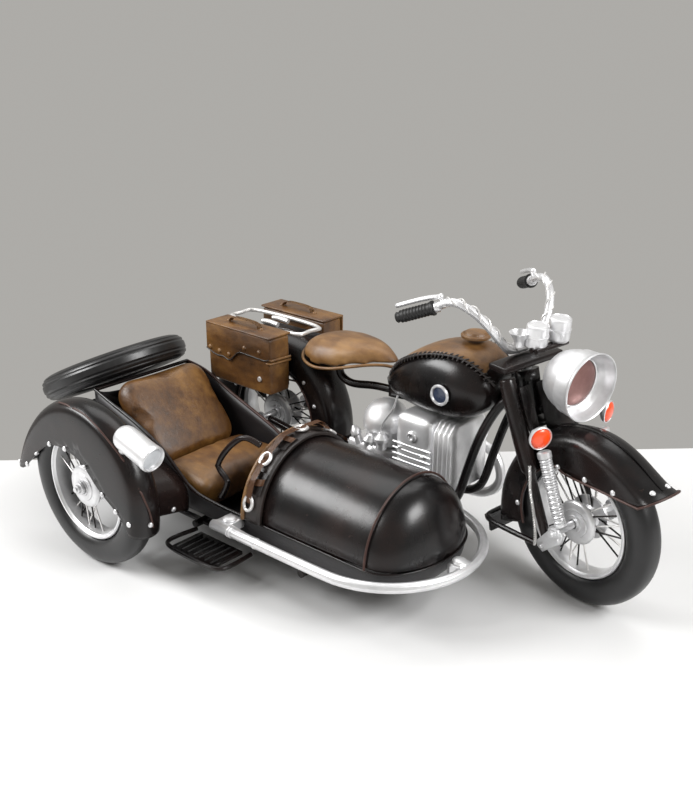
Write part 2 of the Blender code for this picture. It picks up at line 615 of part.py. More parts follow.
def dome_rows(radius, rise, start_x, z, steps=16):
    """Half hoops from the cockpit edge to the tip of the round nose."""
    places = [(start_x, 1.0), (-2.10, 1.0), (DOME_X, 1.0)]
    for degrees in (18, 34, 48, 62, 76, 90):
        swing = math.radians(degrees)
        places.append((DOME_X + DOME_LENGTH * math.sin(swing), math.cos(swing)))
    rows = []
    for x, shrink in places:
        rows.append([Vector((x, CAR_Y - radius * shrink * math.cos(math.pi * k / steps),
                             z + rise * shrink * math.sin(math.pi * k / steps))) for k in range(steps + 1)])
    return rows


def sidecar_cowl():
    tin_sheet("sidecar_cowl", dome_rows(CAR_HALF, 0.81, COWL_REAR_X, SEAM_Z), "black_paint", sharp=40)
    inner = CAR_HALF + GAP
    outer = inner + 0.04
    rings = []
    for k in range(17):
        angle = math.pi * k / 16
        across = -math.cos(angle)
        up = math.sin(angle)
        rings.append([Vector((x, CAR_Y + r * across, SEAM_Z + r * 1.0125 * up)) for x, r in (
            (-3.05, inner), (-2.78, inner), (-2.78, outer), (-3.05, outer))])
    loft("lace_strap", rings, "brown_leather")


def sidecar_seat():
    lean = Matrix.Rotation(math.radians(-38.7), 4, "Y")
    block("seat_back", (-5.29, CAR_Y - 0.72, 0.655), (-5.04, CAR_Y + 0.72, 1.90), "brown_leather",
          edge=0.10, segments=3, turn=lean)
    block("seat_cushion", (-4.70, CAR_Y - 0.73, 0.58), (-3.80, CAR_Y + 0.73, 0.94), "brown_leather",
          edge=0.09, segments=3)


def sidecar_fittings():
    grab = smooth_path([(-3.55, CAR_Y - 0.72, 0.86), (-3.44, CAR_Y - 0.70, 1.10), (-3.62, CAR_Y - 0.68, 1.24),
                        (-3.48, CAR_Y - 0.62, 1.50), (-3.28, CAR_Y - 0.56, 1.66), (-3.08, CAR_Y - 0.50, 1.60)], 3)
    tube("grab_rail", grab, 0.034, "black_paint")
    lamp = turned("side_lamp", [(0.0, 0.0), (0.09, 0.01), (0.13, 0.05), (0.145, 0.12), (0.15, 0.55),
                                (0.14, 0.58), (0.13, 0.56), (0.12, 0.52), (0.0, 0.52)],
                  (-3.93, SIDE_AXLE.y - 0.15, 1.92), (1, 0, -0.28), "silver", sides=20)
    lean = math.radians(41)
    outward = Vector((math.cos(lean), 0.0, math.sin(lean)))
    combine(lamp, turned("lamp_post_guide", [(0.0, 1.065), (0.05, 1.065), (0.04, 1.25), (0.0, 1.25)],
                         SIDE_AXLE - Vector((0, 0.13, 0)), outward, "silver", sides=12))
    rail_z = 0.74
    rail_radius = 1.08
    rail = [Vector((x, CAR_Y - rail_radius, rail_z)) for x in (-3.30, -2.70, -2.10)]
    for step in range(19):
        angle = math.radians(-90 + 10 * step)
        rail.append(Vector((-1.60 + rail_radius * math.cos(angle), CAR_Y + rail_radius * math.sin(angle), rail_z)))
    rail.append(Vector((-1.95, CAR_Y + rail_radius, rail_z)))
    bumper = tube("bumper_rail", rail, 0.055, "silver")
    rear_clamp = block("rear_clamp_guide", (-3.28, CAR_Y - 1.06, 0.68), (-3.07, CAR_Y - 0.815, 0.78), "silver")
    front_clamp = block("front_clamp_guide", (-0.69, CAR_Y - 0.10, 0.68), (-0.53, CAR_Y + 0.10, 0.80), "silver")
    combine(bumper, rear_clamp)
    combine(bumper, front_clamp)
    step = block("step_plate", (-3.80, CAR_Y - 1.33, 0.32), (-3.08, CAR_Y - 0.84, 0.36), "black_paint")
    loop = [(-3.92, CAR_Y - 0.80, 0.34), (-3.96, CAR_Y - 1.16, 0.34), (-3.86, CAR_Y - 1.30, 0.34),
            (-3.45, CAR_Y - 1.33, 0.34), (-3.04, CAR_Y - 1.30, 0.34), (-2.96, CAR_Y - 1.14, 0.34),
            (-2.98, CAR_Y - 0.80, 0.34)]
    combine(step, tube("step_loop_guide", smooth_path(loop, 3), 0.03, "black_paint"))


def spare_wheel():
    lean = math.radians(-27)
    axis = (math.sin(lean), 0.0, math.cos(lean))
    centre = Vector((-6.37, CAR_Y - 0.02, 1.63))
    turned("spare_tyre", tyre_profile(), centre, axis, "tyre", sides=TYRE_SIDES, closed_profile=True)
    outer = RIM_SEAT + 0.02 - GAP
    turned("spare_rim", [(0.0, -0.06), (0.50, -0.06), (0.58, -0.12), (outer, -0.10), (outer, 0.10),
                         (0.58, 0.12), (0.50, 0.0), (0.16, 0.0), (0.12, 0.08), (0.0, 0.08)],
           centre, axis, "silver")


def boot():
    """The boot behind the seat, whose sloping lid carries the spare wheel."""
    rings = []
    for x, half, low, high in ((-5.79, 0.74, 0.66, 1.55), (-6.20, 0.74, 0.68, 1.36), (-6.70, 0.68, 0.74, 1.11),
                               (-7.00, 0.58, 0.80, 0.97)):
        rings.append([Vector((x, CAR_Y + y, z)) for y, z in (
            (-half, low + 0.06), (-half, high), (half, high), (half, low + 0.06), (half - 0.1, low),
            (-half + 0.1, low))])
    return loft("boot_guide", rings, "grey_paint")


def sidecar_chassis():
    """Two cross tubes and a side rail that tie the sidecar to the bike."""
    front_cross = turned("sidecar_chassis", [(0.0, 0.0), (0.05, 0.0), (0.05, 1.90), (0.0, 1.90)],
                         (-2.30, -0.33, 0.29), (0, -1, 0), "black_paint", sides=10)
    rear_cross = turned("rear_cross_guide", [(0.0, 0.0), (0.05, 0.0), (0.05, 1.90), (0.0, 1.90)],
                        (-4.10, -0.33, 0.29), (0, -1, 0), "black_paint", sides=10)
    rail = turned("side_rail_guide", [(0.0, 0.0), (0.037, 0.0), (0.037, 2.90), (0.0, 2.90)],
                  (-1.85, -2.10, 0.29), (-1, 0, 0.001), "black_paint", sides=9)
    combine(front_cross, rail)
    combine(front_cross, rear_cross)
    turned("sidecar_axle", [(0.0, 0.0), (0.045, 0.0), (0.045, 1.03), (0.0, 1.03)],
           (SIDE_AXLE.x, CAR_Y - 0.81, SIDE_AXLE.z), (0, -1, 0), "silver", sides=12)
    turned("rear_axle", [(0.0, -0.42), (0.045, -0.42), (0.045, 0.42), (0.0, 0.42)], REAR_AXLE, (0, 1, 0),
           "silver", sides=12)


def build():
    clear_scene()
    steering = turning_empty("steering_axis", HEAD, Matrix.Rotation(STEER_AT_REST, 4, HEAD_AXIS))
    front_spin = turning_empty("front_axle_axis", front(0, 0, 0), parent=steering)
    rear_spin = turning_empty("rear_axle_axis", REAR_AXLE)
    side_spin = turning_empty("sidecar_axle_axis", SIDE_AXLE)
    wheel("front", front(0, 0, 0), front_spin)
    wheel("rear", REAR_AXLE, rear_spin)
    wheel("sidecar", SIDE_AXLE, side_spin)
    front_fender(steering)
    fork(steering)
    yokes(steering)
    front_axle(steering)
    cockpit(steering)
    crash_bar(steering)
    frame()
    engine()
    tank()
    saddle()
    luggage()
    rear_fender()
    sidecar_tub()
    sidecar_cowl()
    sidecar_seat()
    sidecar_fittings()
    sidecar_fender()
    spare_wheel()
    sidecar_chassis()


build()
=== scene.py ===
# %% [markdown]
# # A hand-made tin motorcycle with a sidecar
#
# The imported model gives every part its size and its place. This lesson dresses it: each
# plain solid gets a smoother, more detailed piece in its place, and each piece gets a
# finish made from nodes. It goes from the frame, to the camera and light, to the
# finishes, and then round the toy from the wheels to the luggage.

# %% Load the frame
import json
import math

import bmesh
import bpy
from mathutils import Matrix, Quaternion, Vector
from mathutils.bvhtree import BVHTree


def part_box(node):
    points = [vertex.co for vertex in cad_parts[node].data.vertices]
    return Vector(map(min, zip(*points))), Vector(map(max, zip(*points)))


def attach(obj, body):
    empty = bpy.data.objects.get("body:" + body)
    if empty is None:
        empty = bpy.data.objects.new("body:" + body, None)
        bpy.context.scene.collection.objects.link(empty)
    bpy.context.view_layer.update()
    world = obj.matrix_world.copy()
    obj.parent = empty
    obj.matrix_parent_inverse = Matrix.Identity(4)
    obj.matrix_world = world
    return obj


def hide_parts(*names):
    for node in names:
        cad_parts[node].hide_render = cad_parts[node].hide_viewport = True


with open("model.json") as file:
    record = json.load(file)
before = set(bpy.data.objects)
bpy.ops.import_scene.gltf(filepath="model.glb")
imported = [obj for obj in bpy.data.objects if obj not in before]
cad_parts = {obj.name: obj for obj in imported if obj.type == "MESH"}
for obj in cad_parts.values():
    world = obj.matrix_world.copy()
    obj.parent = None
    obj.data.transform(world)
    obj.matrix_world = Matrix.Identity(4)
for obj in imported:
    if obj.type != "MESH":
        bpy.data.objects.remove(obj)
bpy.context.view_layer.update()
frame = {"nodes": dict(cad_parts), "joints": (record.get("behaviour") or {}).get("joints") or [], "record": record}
BODIES = frame["record"]["behaviour"]["bodies"]
BODY_OF = {node: body for body, nodes in BODIES.items() for node in nodes}

# %% [markdown]
# The toy was laid out in wheel radii, so the places here are in wheel radii too. The rear
# axle's joint says where that layout sits. The steered parts were drawn with the bars
# straight and then turned, so they get a second frame that is turned as they are.

# %% Two frames to place things in
JOINTS = {joint["name"]: joint for joint in frame["joints"]}
low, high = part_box("rear_tyre")
RADIUS = (high.z - low.z) / 2
REAR_AXLE = Vector(JOINTS["rear_wheel_spin"]["pos_m"])
SIDE_AXLE = Vector(JOINTS["sidecar_wheel_spin"]["pos_m"])
FRONT_AXLE = Vector(JOINTS["front_wheel_spin"]["pos_m"])
FRONT_SPIN = Vector(JOINTS["front_wheel_spin"]["axis"])
HEAD = Vector(JOINTS["steering"]["pos_m"])
STEER_AXIS = Vector(JOINTS["steering"]["axis"]).normalized()

# The layout's own places, in wheel radii: its axles, the sidecar's middle, the seam
# between the tub and the cowl, and where the cowl's nose begins.
REAR_AXLE_X = -4.72
FRONT_AXLE_X = 0.07
FRONT_AXLE_Z = 1.004
CAR_Y = -1.55
SEAM_Z = 0.80
DOME_X = -1.27

BARS_TURN = math.radians(-13.0)
SIDES = ((1, "left"), (-1, "right"))
LAYOUT_ZERO = REAR_AXLE - RADIUS * Vector((REAR_AXLE_X, 0.0, 1.0))
STEER = (Matrix.Translation(HEAD) @ Matrix.Rotation(BARS_TURN, 4, STEER_AXIS)
         @ Matrix.Translation(-HEAD))


def at(x, y, z):
    """A place on the bike or the sidecar, in wheel radii."""
    return LAYOUT_ZERO + RADIUS * Vector((x, y, z))


def front(x, y, z):
    """A place on the steered parts, in wheel radii from the front axle."""
    return STEER @ at(FRONT_AXLE_X + x, y, FRONT_AXLE_Z + z)


def turned_with_bars(x, y, z):
    """A direction on the steered parts."""
    return STEER.to_3x3() @ Vector((x, y, z))


print("wheel radius", round(RADIUS, 4), "m, front axle misses its joint by",
      round((front(0, 0, 0) - FRONT_AXLE).length * 1000, 3), "mm")

# %% [markdown]
# ## Camera, table and light
#
# The toy is seen from its front right, a little above. The lens is moderately long, so
# the near wheel isn't swollen. The table is a pale slab that ends behind the toy, with
# plain grey beyond it. Two lights the size of windows, one at each side, give the long,
# smooth highlights that make curved tin read as tin, and a wide, weak one overhead fills
# the tops. The Standard view keeps the black paint deep.

# %% Camera
camera_data = bpy.data.cameras.new("camera")
camera_data.sensor_fit = "VERTICAL"
camera_data.sensor_height = 36.0
camera_data.lens = 46.92
camera_data.shift_x = -0.0032
camera_data.shift_y = 0.0653
camera_data.clip_start = 0.01
camera = bpy.data.objects.new("camera", camera_data)
bpy.context.scene.collection.objects.link(camera)
heading = 2.2782
tilt = -0.4162
roll = 0.011


def unit(around, up):
    """The direction at these two angles, in radians."""
    return Vector((math.cos(up) * math.cos(around), math.cos(up) * math.sin(around), math.sin(up)))


camera.rotation_mode = "QUATERNION"
camera.rotation_quaternion = unit(heading, tilt).to_track_quat("-Z", "Y") @ Quaternion((0, 0, 1), roll)
camera.location = at(4.667, -9.556, 6.351)
bpy.context.scene.camera = camera


# %% Lights
TOY_MIDDLE = Vector((0.0, 0.0, 0.06))
LIGHT_DISTANCE = 1.1
ROOM_GREY = (0.42, 0.41, 0.39, 1.0)


def soft_light(name, azimuth, height, width, tall, power):
    """A rectangular light at these angles, in degrees, that faces the toy's middle."""
    data = bpy.data.lights.new(name, "AREA")
    data.shape = "RECTANGLE"
    data.size = width
    data.size_y = tall
    data.energy = power
    light = bpy.data.objects.new(name, data)
    light.location = unit(math.radians(azimuth), math.radians(height)) * LIGHT_DISTANCE
    light.rotation_mode = "QUATERNION"
    light.rotation_quaternion = (TOY_MIDDLE - light.location).to_track_quat("-Z", "Y")
    bpy.context.scene.collection.objects.link(light)


soft_light("left_window", -136, 39, 0.66, 0.38, 13.0)
soft_light("right_window", 6, 39, 0.42, 0.36, 9.5)
soft_light("overhead", 128, 66, 1.1, 0.55, 4.6)
world = bpy.data.worlds.new("plain grey room")
world.use_nodes = True
bpy.context.scene.world = world
background = world.node_tree.nodes["Background"]
background.inputs["Color"].default_value = ROOM_GREY
background.inputs["Strength"].default_value = 1.0
bpy.context.scene.view_settings.view_transform = "Standard"
print("three lights,", LIGHT_DISTANCE, "m from the toy's middle")

# %% [markdown]
# ## A short way to write materials
#
# Node trees are long to write out by hand. `Value` wraps one socket, so that `1 - mask`
# or `grain * 0.3` adds the Math node for it. `Finish` holds one material's tree, and its
# `node` method adds any other node: first its settings, then its inputs.


# %% Values and finishes
class Value:
    """One output socket. Python's operators on it add Math nodes."""

    def __init__(self, finish, socket):
        self.finish = finish
        self.socket = socket

    def maths(self, operation, first, second):
        return self.finish.node("ShaderNodeMath", {"operation": operation}, {0: first, 1: second})

    def __add__(self, other):
        return self.maths("ADD", self, other)

    def __radd__(self, other):
        return self.maths("ADD", other, self)

    def __sub__(self, other):
        return self.maths("SUBTRACT", self, other)

    def __rsub__(self, other):
        return self.maths("SUBTRACT", other, self)

    def __mul__(self, other):
        return self.maths("MULTIPLY", self, other)

    def __rmul__(self, other):
        return self.maths("MULTIPLY", other, self)

    def __pow__(self, other):
        return self.maths("POWER", self, other)


class Finish:
    """The node tree of one material."""

    def __init__(self, name):
        self.material = bpy.data.materials.new(name)
        self.material.use_nodes = True
        self.tree = self.material.node_tree
        self.shader = self.tree.nodes["Principled BSDF"]
        self.place = self.node("ShaderNodeTexCoord", out="Object")

    def node(self, kind, settings=None, inputs=None, out=0):
        made = self.tree.nodes.new(kind)
        for name, setting in (settings or {}).items():
            if name == "stops":
                self.set_stops(made.color_ramp, setting)
            else:
                setattr(made, name, setting)
        for socket, value in (inputs or {}).items():
            self.feed(made.inputs[socket], value)
        return Value(self, made.outputs[out])

    def feed(self, socket, value):
        if isinstance(value, Value):
            self.tree.links.new(value.socket, socket)
        elif isinstance(value, tuple) and len(value) == 3 and len(socket.default_value) == 4:
            socket.default_value = (*value, 1.0)
        else:
            socket.default_value = value

    def set_stops(self, ramp, stops):
        while len(ramp.elements) < len(stops):
            ramp.elements.new(0.5)
        for element, (position, colour) in zip(ramp.elements, stops):
            element.position = position
            element.color = (*colour, 1.0) if len(colour) == 3 else colour

    def set(self, **sockets):
        for name, value in sockets.items():
            self.feed(self.shader.inputs[name.replace("_", " ")], value)
        return self.material

    def noise(self, scale, detail=3.0, roughness=0.55, stretch=(1.0, 1.0, 1.0)):
        spot = self.node("ShaderNodeMapping", {}, {"Vector": self.place, "Scale": Vector(stretch)})
        return self.node("ShaderNodeTexNoise", {}, {"Vector": spot, "Scale": scale, "Detail": detail,
                                                    "Roughness": roughness})

    def cell_edges(self, scale):
        """How far a point is from the edge of its cell."""
        return self.node("ShaderNodeTexVoronoi", {"feature": "DISTANCE_TO_EDGE"},
                         {"Vector": self.place, "Scale": scale}, out="Distance")

    def ramp(self, value, *stops):
        return self.node("ShaderNodeValToRGB", {"stops": stops}, {"Fac": value})

    def step(self, value, start, end):
        """0 below start, 1 above end, and a straight rise between them."""
        return self.node("ShaderNodeMapRange", {"clamp": True},
                         {"Value": value, "From Min": start, "From Max": end})

    def mix(self, amount, first, second):
        return self.node("ShaderNodeMix", {"data_type": "RGBA", "blend_type": "MIX"},
                         {0: amount, 6: first, 7: second}, out=2)

    def bump(self, height, strength, distance=0.0004):
        return self.node("ShaderNodeBump", {}, {"Height": height, "Strength": strength,
                                                "Distance": distance})


# %% [markdown]
# ## Finishes
#
# The painted tin isn't pure black. It's a satin black over a reddish brown that shows
# through in soft clouds and as thin rubbed spots. Sprayed paint on tin also keeps a very
# fine orange-peel texture, which breaks up its highlights.


# %% Painted tin
RUBBED_BROWN = (0.085, 0.045, 0.032)
PAINT_SPECULAR = 0.36


def painted_tin(name, black, brown, share, roughness):
    """share is how much of the clouds' brown comes through the black."""
    finish = Finish(name)
    clouds = finish.step(finish.noise(26.0, 5.0, 0.6), 0.42, 0.72)
    rubbed = finish.step(finish.noise(240.0, 4.0, 0.7), 0.66, 0.74)
    colour = finish.mix(clouds * share, black, brown)
    colour = finish.mix(rubbed * 0.35, colour, RUBBED_BROWN)
    peel = finish.noise(1500.0, 2.0)
    smears = finish.noise(70.0, 4.0, 0.6, (1.0, 1.0, 0.4))
    height = peel * 0.35 + finish.noise(160.0, 3.0)
    finish.shader.inputs["Specular IOR Level"].default_value = PAINT_SPECULAR
    return finish.set(Base_Color=colour, Roughness=roughness + 0.14 * smears + 0.10 * rubbed,
                      Normal=finish.bump(height, 0.18, 0.00025))


BLACK = painted_tin("black_paint", (0.0040, 0.0034, 0.0036), (0.022, 0.0110, 0.0088), 0.62, 0.190)
GREY = painted_tin("grey_paint", (0.014, 0.0135, 0.015), (0.030, 0.025, 0.024), 0.5, 0.33)
EDGE = painted_tin("rubbed_edge", (0.040, 0.018, 0.014), (0.100, 0.048, 0.038), 0.8, 0.32)

# %% [markdown]
# The bright metal is plated tin with a hand-rubbed surface: clean in patches, dull in
# others, with fine scratches that run one way. Its colour hardly changes, so nearly all
# of the interest is in the roughness. Such plating isn't a perfect mirror, so it is a
# little less than fully metallic. The engine is the same metal cast and beaten, so its
# dents are deeper.


# %% Bright metal
PLATING = 0.72


def bright_metal(name, colour, dull, rough, scratch, dents):
    """scratch and dents are how deep those two patterns are."""
    finish = Finish(name)
    patches = finish.noise(45.0, 5.0, 0.62)
    lines = finish.noise(520.0, 2.0, 0.5, (0.12, 1.0, 1.0))
    tint = finish.mix(finish.step(patches, 0.40, 0.75), colour, dull)
    height = lines * scratch + finish.noise(110.0, 3.0) * dents
    return finish.set(Base_Color=tint, Metallic=PLATING, Roughness=rough + 0.20 * patches + 0.06 * lines,
                      Normal=finish.bump(height, 0.25, 0.0003))


SILVER = bright_metal("silver", (0.80, 0.80, 0.81), (0.56, 0.56, 0.57), 0.24, 0.30, 0.45)
ENGINE = bright_metal("cast_silver", (0.93, 0.93, 0.94), (0.74, 0.74, 0.75), 0.28, 0.30, 1.6)
WIRE = bright_metal("wire_silver", (0.84, 0.83, 0.82), (0.60, 0.58, 0.56), 0.24, 0.15, 0.10)
COPPER = bright_metal("copper_glass", (0.30, 0.165, 0.150), (0.17, 0.080, 0.072), 0.26, 0.35, 0.30)

# %% [markdown]
# The leather is antiqued: a warm tan rubbed over a dark brown, darkest where it's
# handled least. Large soft clouds carry the colour, short streaks carry the rubbing, and
# a cell pattern about half a millimetre across carries the grain.


# %% Leather
GRAIN_SCALE = 1900.0
CREASE_SCALE = 330.0


def leather(name, dark, middle, light):
    finish = Finish(name)
    clouds = finish.noise(30.0, 6.0, 0.62)
    streaks = finish.noise(210.0, 4.0, 0.65, (0.35, 1.0, 1.0))
    tone = clouds * 0.68 + streaks * 0.32
    colour = finish.ramp(tone, (0.30, dark), (0.47, middle), (0.66, light))
    pores = finish.cell_edges(GRAIN_SCALE)
    creases = finish.step(finish.cell_edges(CREASE_SCALE), 0.0, 0.09)
    height = finish.step(pores, 0.0, 0.25) * 0.5 + creases * 0.5 + streaks * 0.6
    return finish.set(Base_Color=colour, Roughness=0.27 + 0.20 * streaks + 0.05 * clouds,
                      Normal=finish.bump(height, 0.32, 0.0003), Coat_Weight=0.15, Coat_Roughness=0.35)


BROWN = leather("brown_leather", (0.017, 0.0065, 0.0022), (0.096, 0.040, 0.0090), (0.230, 0.112, 0.027))
TAN = leather("tan_leather", (0.036, 0.015, 0.0050), (0.145, 0.068, 0.0200), (0.280, 0.150, 0.050))
LACE = leather("lace_leather", (0.050, 0.021, 0.009), (0.120, 0.052, 0.022), (0.200, 0.095, 0.045))
DARK_HIDE = leather("black_hide", (0.007, 0.0055, 0.0055), (0.014, 0.010, 0.009), (0.030, 0.021, 0.018))


# %% [markdown]
# Rubber is nearly black, never shiny, and picks up pale dust. The turn signals' orange
# lenses are painted discs with a lacquer over them. The small lamp's glass is only a
# pale, glossy disc, because nothing shows through it. The tank's badge is a dark one.


# %% Rubber, orange lacquer and lamp glass
def rubber(name, colour, dust, rough):
    finish = Finish(name)
    powder = finish.step(finish.noise(95.0, 6.0, 0.7), 0.45, 0.80)
    skin = finish.noise(2200.0, 2.0)
    return finish.set(Base_Color=finish.mix(powder * 0.6, colour, dust), Roughness=rough + 0.14 * powder,
                      Normal=finish.bump(skin * 0.6 + powder, 0.16, 0.0002))


TYRE = rubber("tyre", (0.0070, 0.0068, 0.0072), (0.016, 0.0155, 0.016), 0.33)
GRIP = rubber("grip_rubber", (0.0060, 0.0060, 0.0060), (0.018, 0.017, 0.016), 0.46)


def lacquer(name, colour, shade):
    finish = Finish(name)
    uneven = finish.noise(300.0, 4.0, 0.6)
    return finish.set(Base_Color=finish.mix(uneven, colour, shade), Roughness=0.22 + 0.15 * uneven,
                      Normal=finish.bump(uneven, 0.15, 0.0003), Coat_Weight=0.6, Coat_Roughness=0.08)


ORANGE = lacquer("orange", (0.94, 0.085, 0.006), (0.80, 0.052, 0.004))
GLASS = lacquer("lamp_glass", (0.56, 0.58, 0.60), (0.38, 0.39, 0.41))
BADGE_CENTRE = lacquer("badge_centre", (0.030, 0.045, 0.085), (0.018, 0.024, 0.050))


# %% [markdown]
# The table is a slab with its far edge behind the toy, turned to run across the view. It
# is white stone with only a faint unevenness, and it is staged, so it isn't part of the
# toy.


# %% Table
TABLE_HALF_LONG = 3.0
TABLE_HALF_DEEP = 1.5
TABLE_THICK = 0.02
TABLE_TURN = math.radians(44.5)


def table_top():
    bm = bmesh.new()
    bmesh.ops.create_grid(bm, x_segments=1, y_segments=1, size=1.0)
    bmesh.ops.scale(bm, vec=(TABLE_HALF_LONG, TABLE_HALF_DEEP, 1.0), verts=bm.verts)
    bmesh.ops.translate(bm, vec=(0.0, -TABLE_HALF_DEEP, 0.0), verts=bm.verts)
    bmesh.ops.rotate(bm, cent=(0, 0, 0), matrix=Matrix.Rotation(TABLE_TURN, 3, "Z"), verts=bm.verts)
    bmesh.ops.translate(bm, vec=at(-4.5, 1.10, 0.0), verts=bm.verts)
    solid = bmesh.ops.extrude_face_region(bm, geom=bm.faces[:])
    lowered = [v for v in solid["geom"] if isinstance(v, bmesh.types.BMVert)]
    bmesh.ops.translate(bm, vec=(0, 0, -TABLE_THICK), verts=lowered)
    bmesh.ops.recalc_face_normals(bm, faces=bm.faces)
    mesh = bpy.data.meshes.new("table")
    bm.to_mesh(mesh)
    bm.free()
    top = bpy.data.objects.new("table", mesh)
    bpy.context.scene.collection.objects.link(top)
    finish = Finish("table_white")
    faint = finish.noise(6.0, 4.0)
    mesh.materials.append(finish.set(Base_Color=finish.mix(faint, (0.64, 0.64, 0.64), (0.68, 0.68, 0.68)),
                                     Roughness=0.45 + 0.1 * faint))


table_top()

# %% [markdown]
# ## Helpers for pieces
#
# Most of the tin is smooth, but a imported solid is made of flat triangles. `refined`
# copies one, welds it, pairs its triangles into quads, and puts a subdivision surface on
# it. Edges that turn sharply are creased, so cut sheet stays crisp while hulls and
# mudguards become smooth. A round tube shrinks a little under subdivision, so `swell`
# pushes its skin out first.


# %% Finished pieces
WELD = 0.00001
SKIN_LEVELS = 2
made = []


def piece(name, bm, finish, body, replaced=(), smooth=35.0):
    """Turns a bmesh in world metres into an object that rides on a body."""
    # The recalculation starts from the faces' stored normals, which a spin or a transform
    # leaves as they were, so they are brought up to date first.
    bm.normal_update()
    bmesh.ops.recalc_face_normals(bm, faces=bm.faces)
    mesh = bpy.data.meshes.new(name)
    bm.to_mesh(mesh)
    bm.free()
    return dressed(name, mesh, finish, body, replaced, smooth)


def dressed(name, mesh, finish, body, replaced=(), smooth=35.0):
    """An object from a mesh, with its finish, its body and the solids it stands for."""
    mesh.shade_smooth()
    if smooth is not None:
        mesh.set_sharp_from_angle(angle=math.radians(smooth))
    mesh.materials.clear()
    mesh.materials.append(finish)
    obj = bpy.data.objects.new(name, mesh)
    bpy.context.scene.collection.objects.link(obj)
    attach(obj, body)
    if replaced:
        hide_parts(*replaced)
    made.append(name)
    return obj


def welded(node):
    """A copy of a CAD node's mesh, with its corners joined and its triangles paired."""
    bm = bmesh.new()
    bm.from_mesh(frame["nodes"][node].data)
    bmesh.ops.remove_doubles(bm, verts=bm.verts, dist=WELD)
    bmesh.ops.join_triangles(bm, faces=bm.faces[:], cmp_seam=False, cmp_sharp=False, cmp_uvs=False,
                             cmp_vcols=False, cmp_materials=False, angle_face_threshold=0.7,
                             angle_shape_threshold=0.9)
    return bm


def refined(node, finish, crease=38.0, swell=0.0):
    """A smooth stand-in for a CAD node. Edges that turn more than crease, in degrees, stay crisp."""
    bm = welded(node)
    bm.normal_update()
    if swell:
        pushes = [(vert, vert.normal.copy()) for vert in bm.verts]
        for vert, normal in pushes:
            vert.co += normal * swell * RADIUS
    creases = bm.edges.layers.float.new("crease_edge")
    for edge in bm.edges:
        if len(edge.link_faces) != 2 or edge.calc_face_angle(0.0) > math.radians(crease):
            edge[creases] = 1.0
    mesh = bpy.data.meshes.new(f"{node}_skin")
    bm.to_mesh(mesh)
    bm.free()
    obj = dressed(f"{node}_skin", mesh, finish, BODY_OF[node], (node,), smooth=None)
    surface = obj.modifiers.new("surface", "SUBSURF")
    surface.levels = SKIN_LEVELS
    surface.render_levels = SKIN_LEVELS
    return obj


# %% Turned pieces, wires and studs
def axis_frame(centre, direction):
    """The matrix that puts the origin at centre and turns Z to a direction."""
    return Matrix.Translation(centre) @ Vector(direction).to_track_quat("Z", "Y").to_matrix().to_4x4()


def flowing(points, steps=6, closed=False):
    """More points along a smooth curve through the given ones."""
    points = [Vector(p) for p in points]
    count = len(points)
    path = []
    for i in range(count if closed else count - 1):
        if closed:
            a, b, c, d = (points[(i + k - 1) % count] for k in range(4))
        else:
            a, b, c, d = (points[min(max(i + k - 1, 0), count - 1)] for k in range(4))
        for s in range(steps):
            t = s / steps
            path.append(0.5 * ((2 * b) + (c - a) * t + (2 * a - 5 * b + 4 * c - d) * t ** 2
                               + (3 * b - a - 3 * c + d) * t ** 3))
    return path if closed else path + [points[-1]]


POLE_WELD = 0.000005


def spun(name, profile, centre, direction, finish, body, replaced=(), steps=64, closed=False,
         smooth=35.0):
    """Spins a profile of (radius, height), in wheel radii, about an axis through centre."""
    bm = bmesh.new()
    verts = [bm.verts.new((radius * RADIUS, 0.0, height * RADIUS)) for radius, height in profile]
    edges = [bm.edges.new(pair) for pair in zip(verts, verts[1:])]
    if closed:
        edges.append(bm.edges.new((verts[-1], verts[0])))
    bmesh.ops.spin(bm, geom=verts + edges, cent=(0, 0, 0), axis=(0, 0, 1), angle=math.tau, steps=steps,
                   use_merge=True, use_duplicate=False)
    bmesh.ops.remove_doubles(bm, verts=bm.verts, dist=POLE_WELD)
    bm.transform(axis_frame(centre, direction))
    return piece(name, bm, finish, body, replaced, smooth)


def both_sides(half):
    """A section from its half: the last point is on the mirror line."""
    return half + [(radius, -height) for radius, height in reversed(half[:-1])]


def wires(name, paths, radius, finish, body, sides=3, closed=False):
    """Round wires along lists of world points, as one mesh."""
    curve = bpy.data.curves.new(name, "CURVE")
    curve.dimensions = "3D"
    curve.bevel_depth = radius * RADIUS
    curve.bevel_resolution = sides
    curve.use_fill_caps = True
    for path in paths:
        spline = curve.splines.new("POLY")
        spline.points.add(len(path) - 1)
        for point, place in zip(spline.points, path):
            point.co = (*place, 1.0)
        spline.use_cyclic_u = closed
    holder = bpy.data.objects.new(name, curve)
    mesh = bpy.data.meshes.new_from_object(holder)
    bpy.data.objects.remove(holder)
    bpy.data.curves.remove(curve)
    return dressed(name, mesh, finish, body, smooth=50.0)


def coil(path, radius, pitch, phase=0.0, per_turn=10):
    """A helix of the given radius and pitch round a path, both in wheel radii."""
    path = [Vector(p) for p in path]
    across = None
    travelled = 0.0
    points = []
    for here, there in zip(path, path[1:]):
        run = there - here
        length = run.length / RADIUS
        along = run.normalized()
        across = along.orthogonal() if across is None else across
        across = (across - along * across.dot(along)).normalized()
        other = along.cross(across)
        steps = max(1, round(length / pitch * per_turn))
        for s in range(steps):
            turn = math.tau * (travelled + length * s / steps) / pitch + phase
            points.append(here + run * s / steps
                          + radius * RADIUS * (math.cos(turn) * across + math.sin(turn) * other))
        travelled += length
    return points


def snapped(node, places):
    """The nearest points on a CAD node, each with its outward normal."""
    mesh = frame["nodes"][node].data
    tree = BVHTree.FromPolygons([v.co for v in mesh.vertices], [tuple(p.vertices) for p in mesh.polygons])
    return [tree.find_nearest(place)[:2] for place in places]


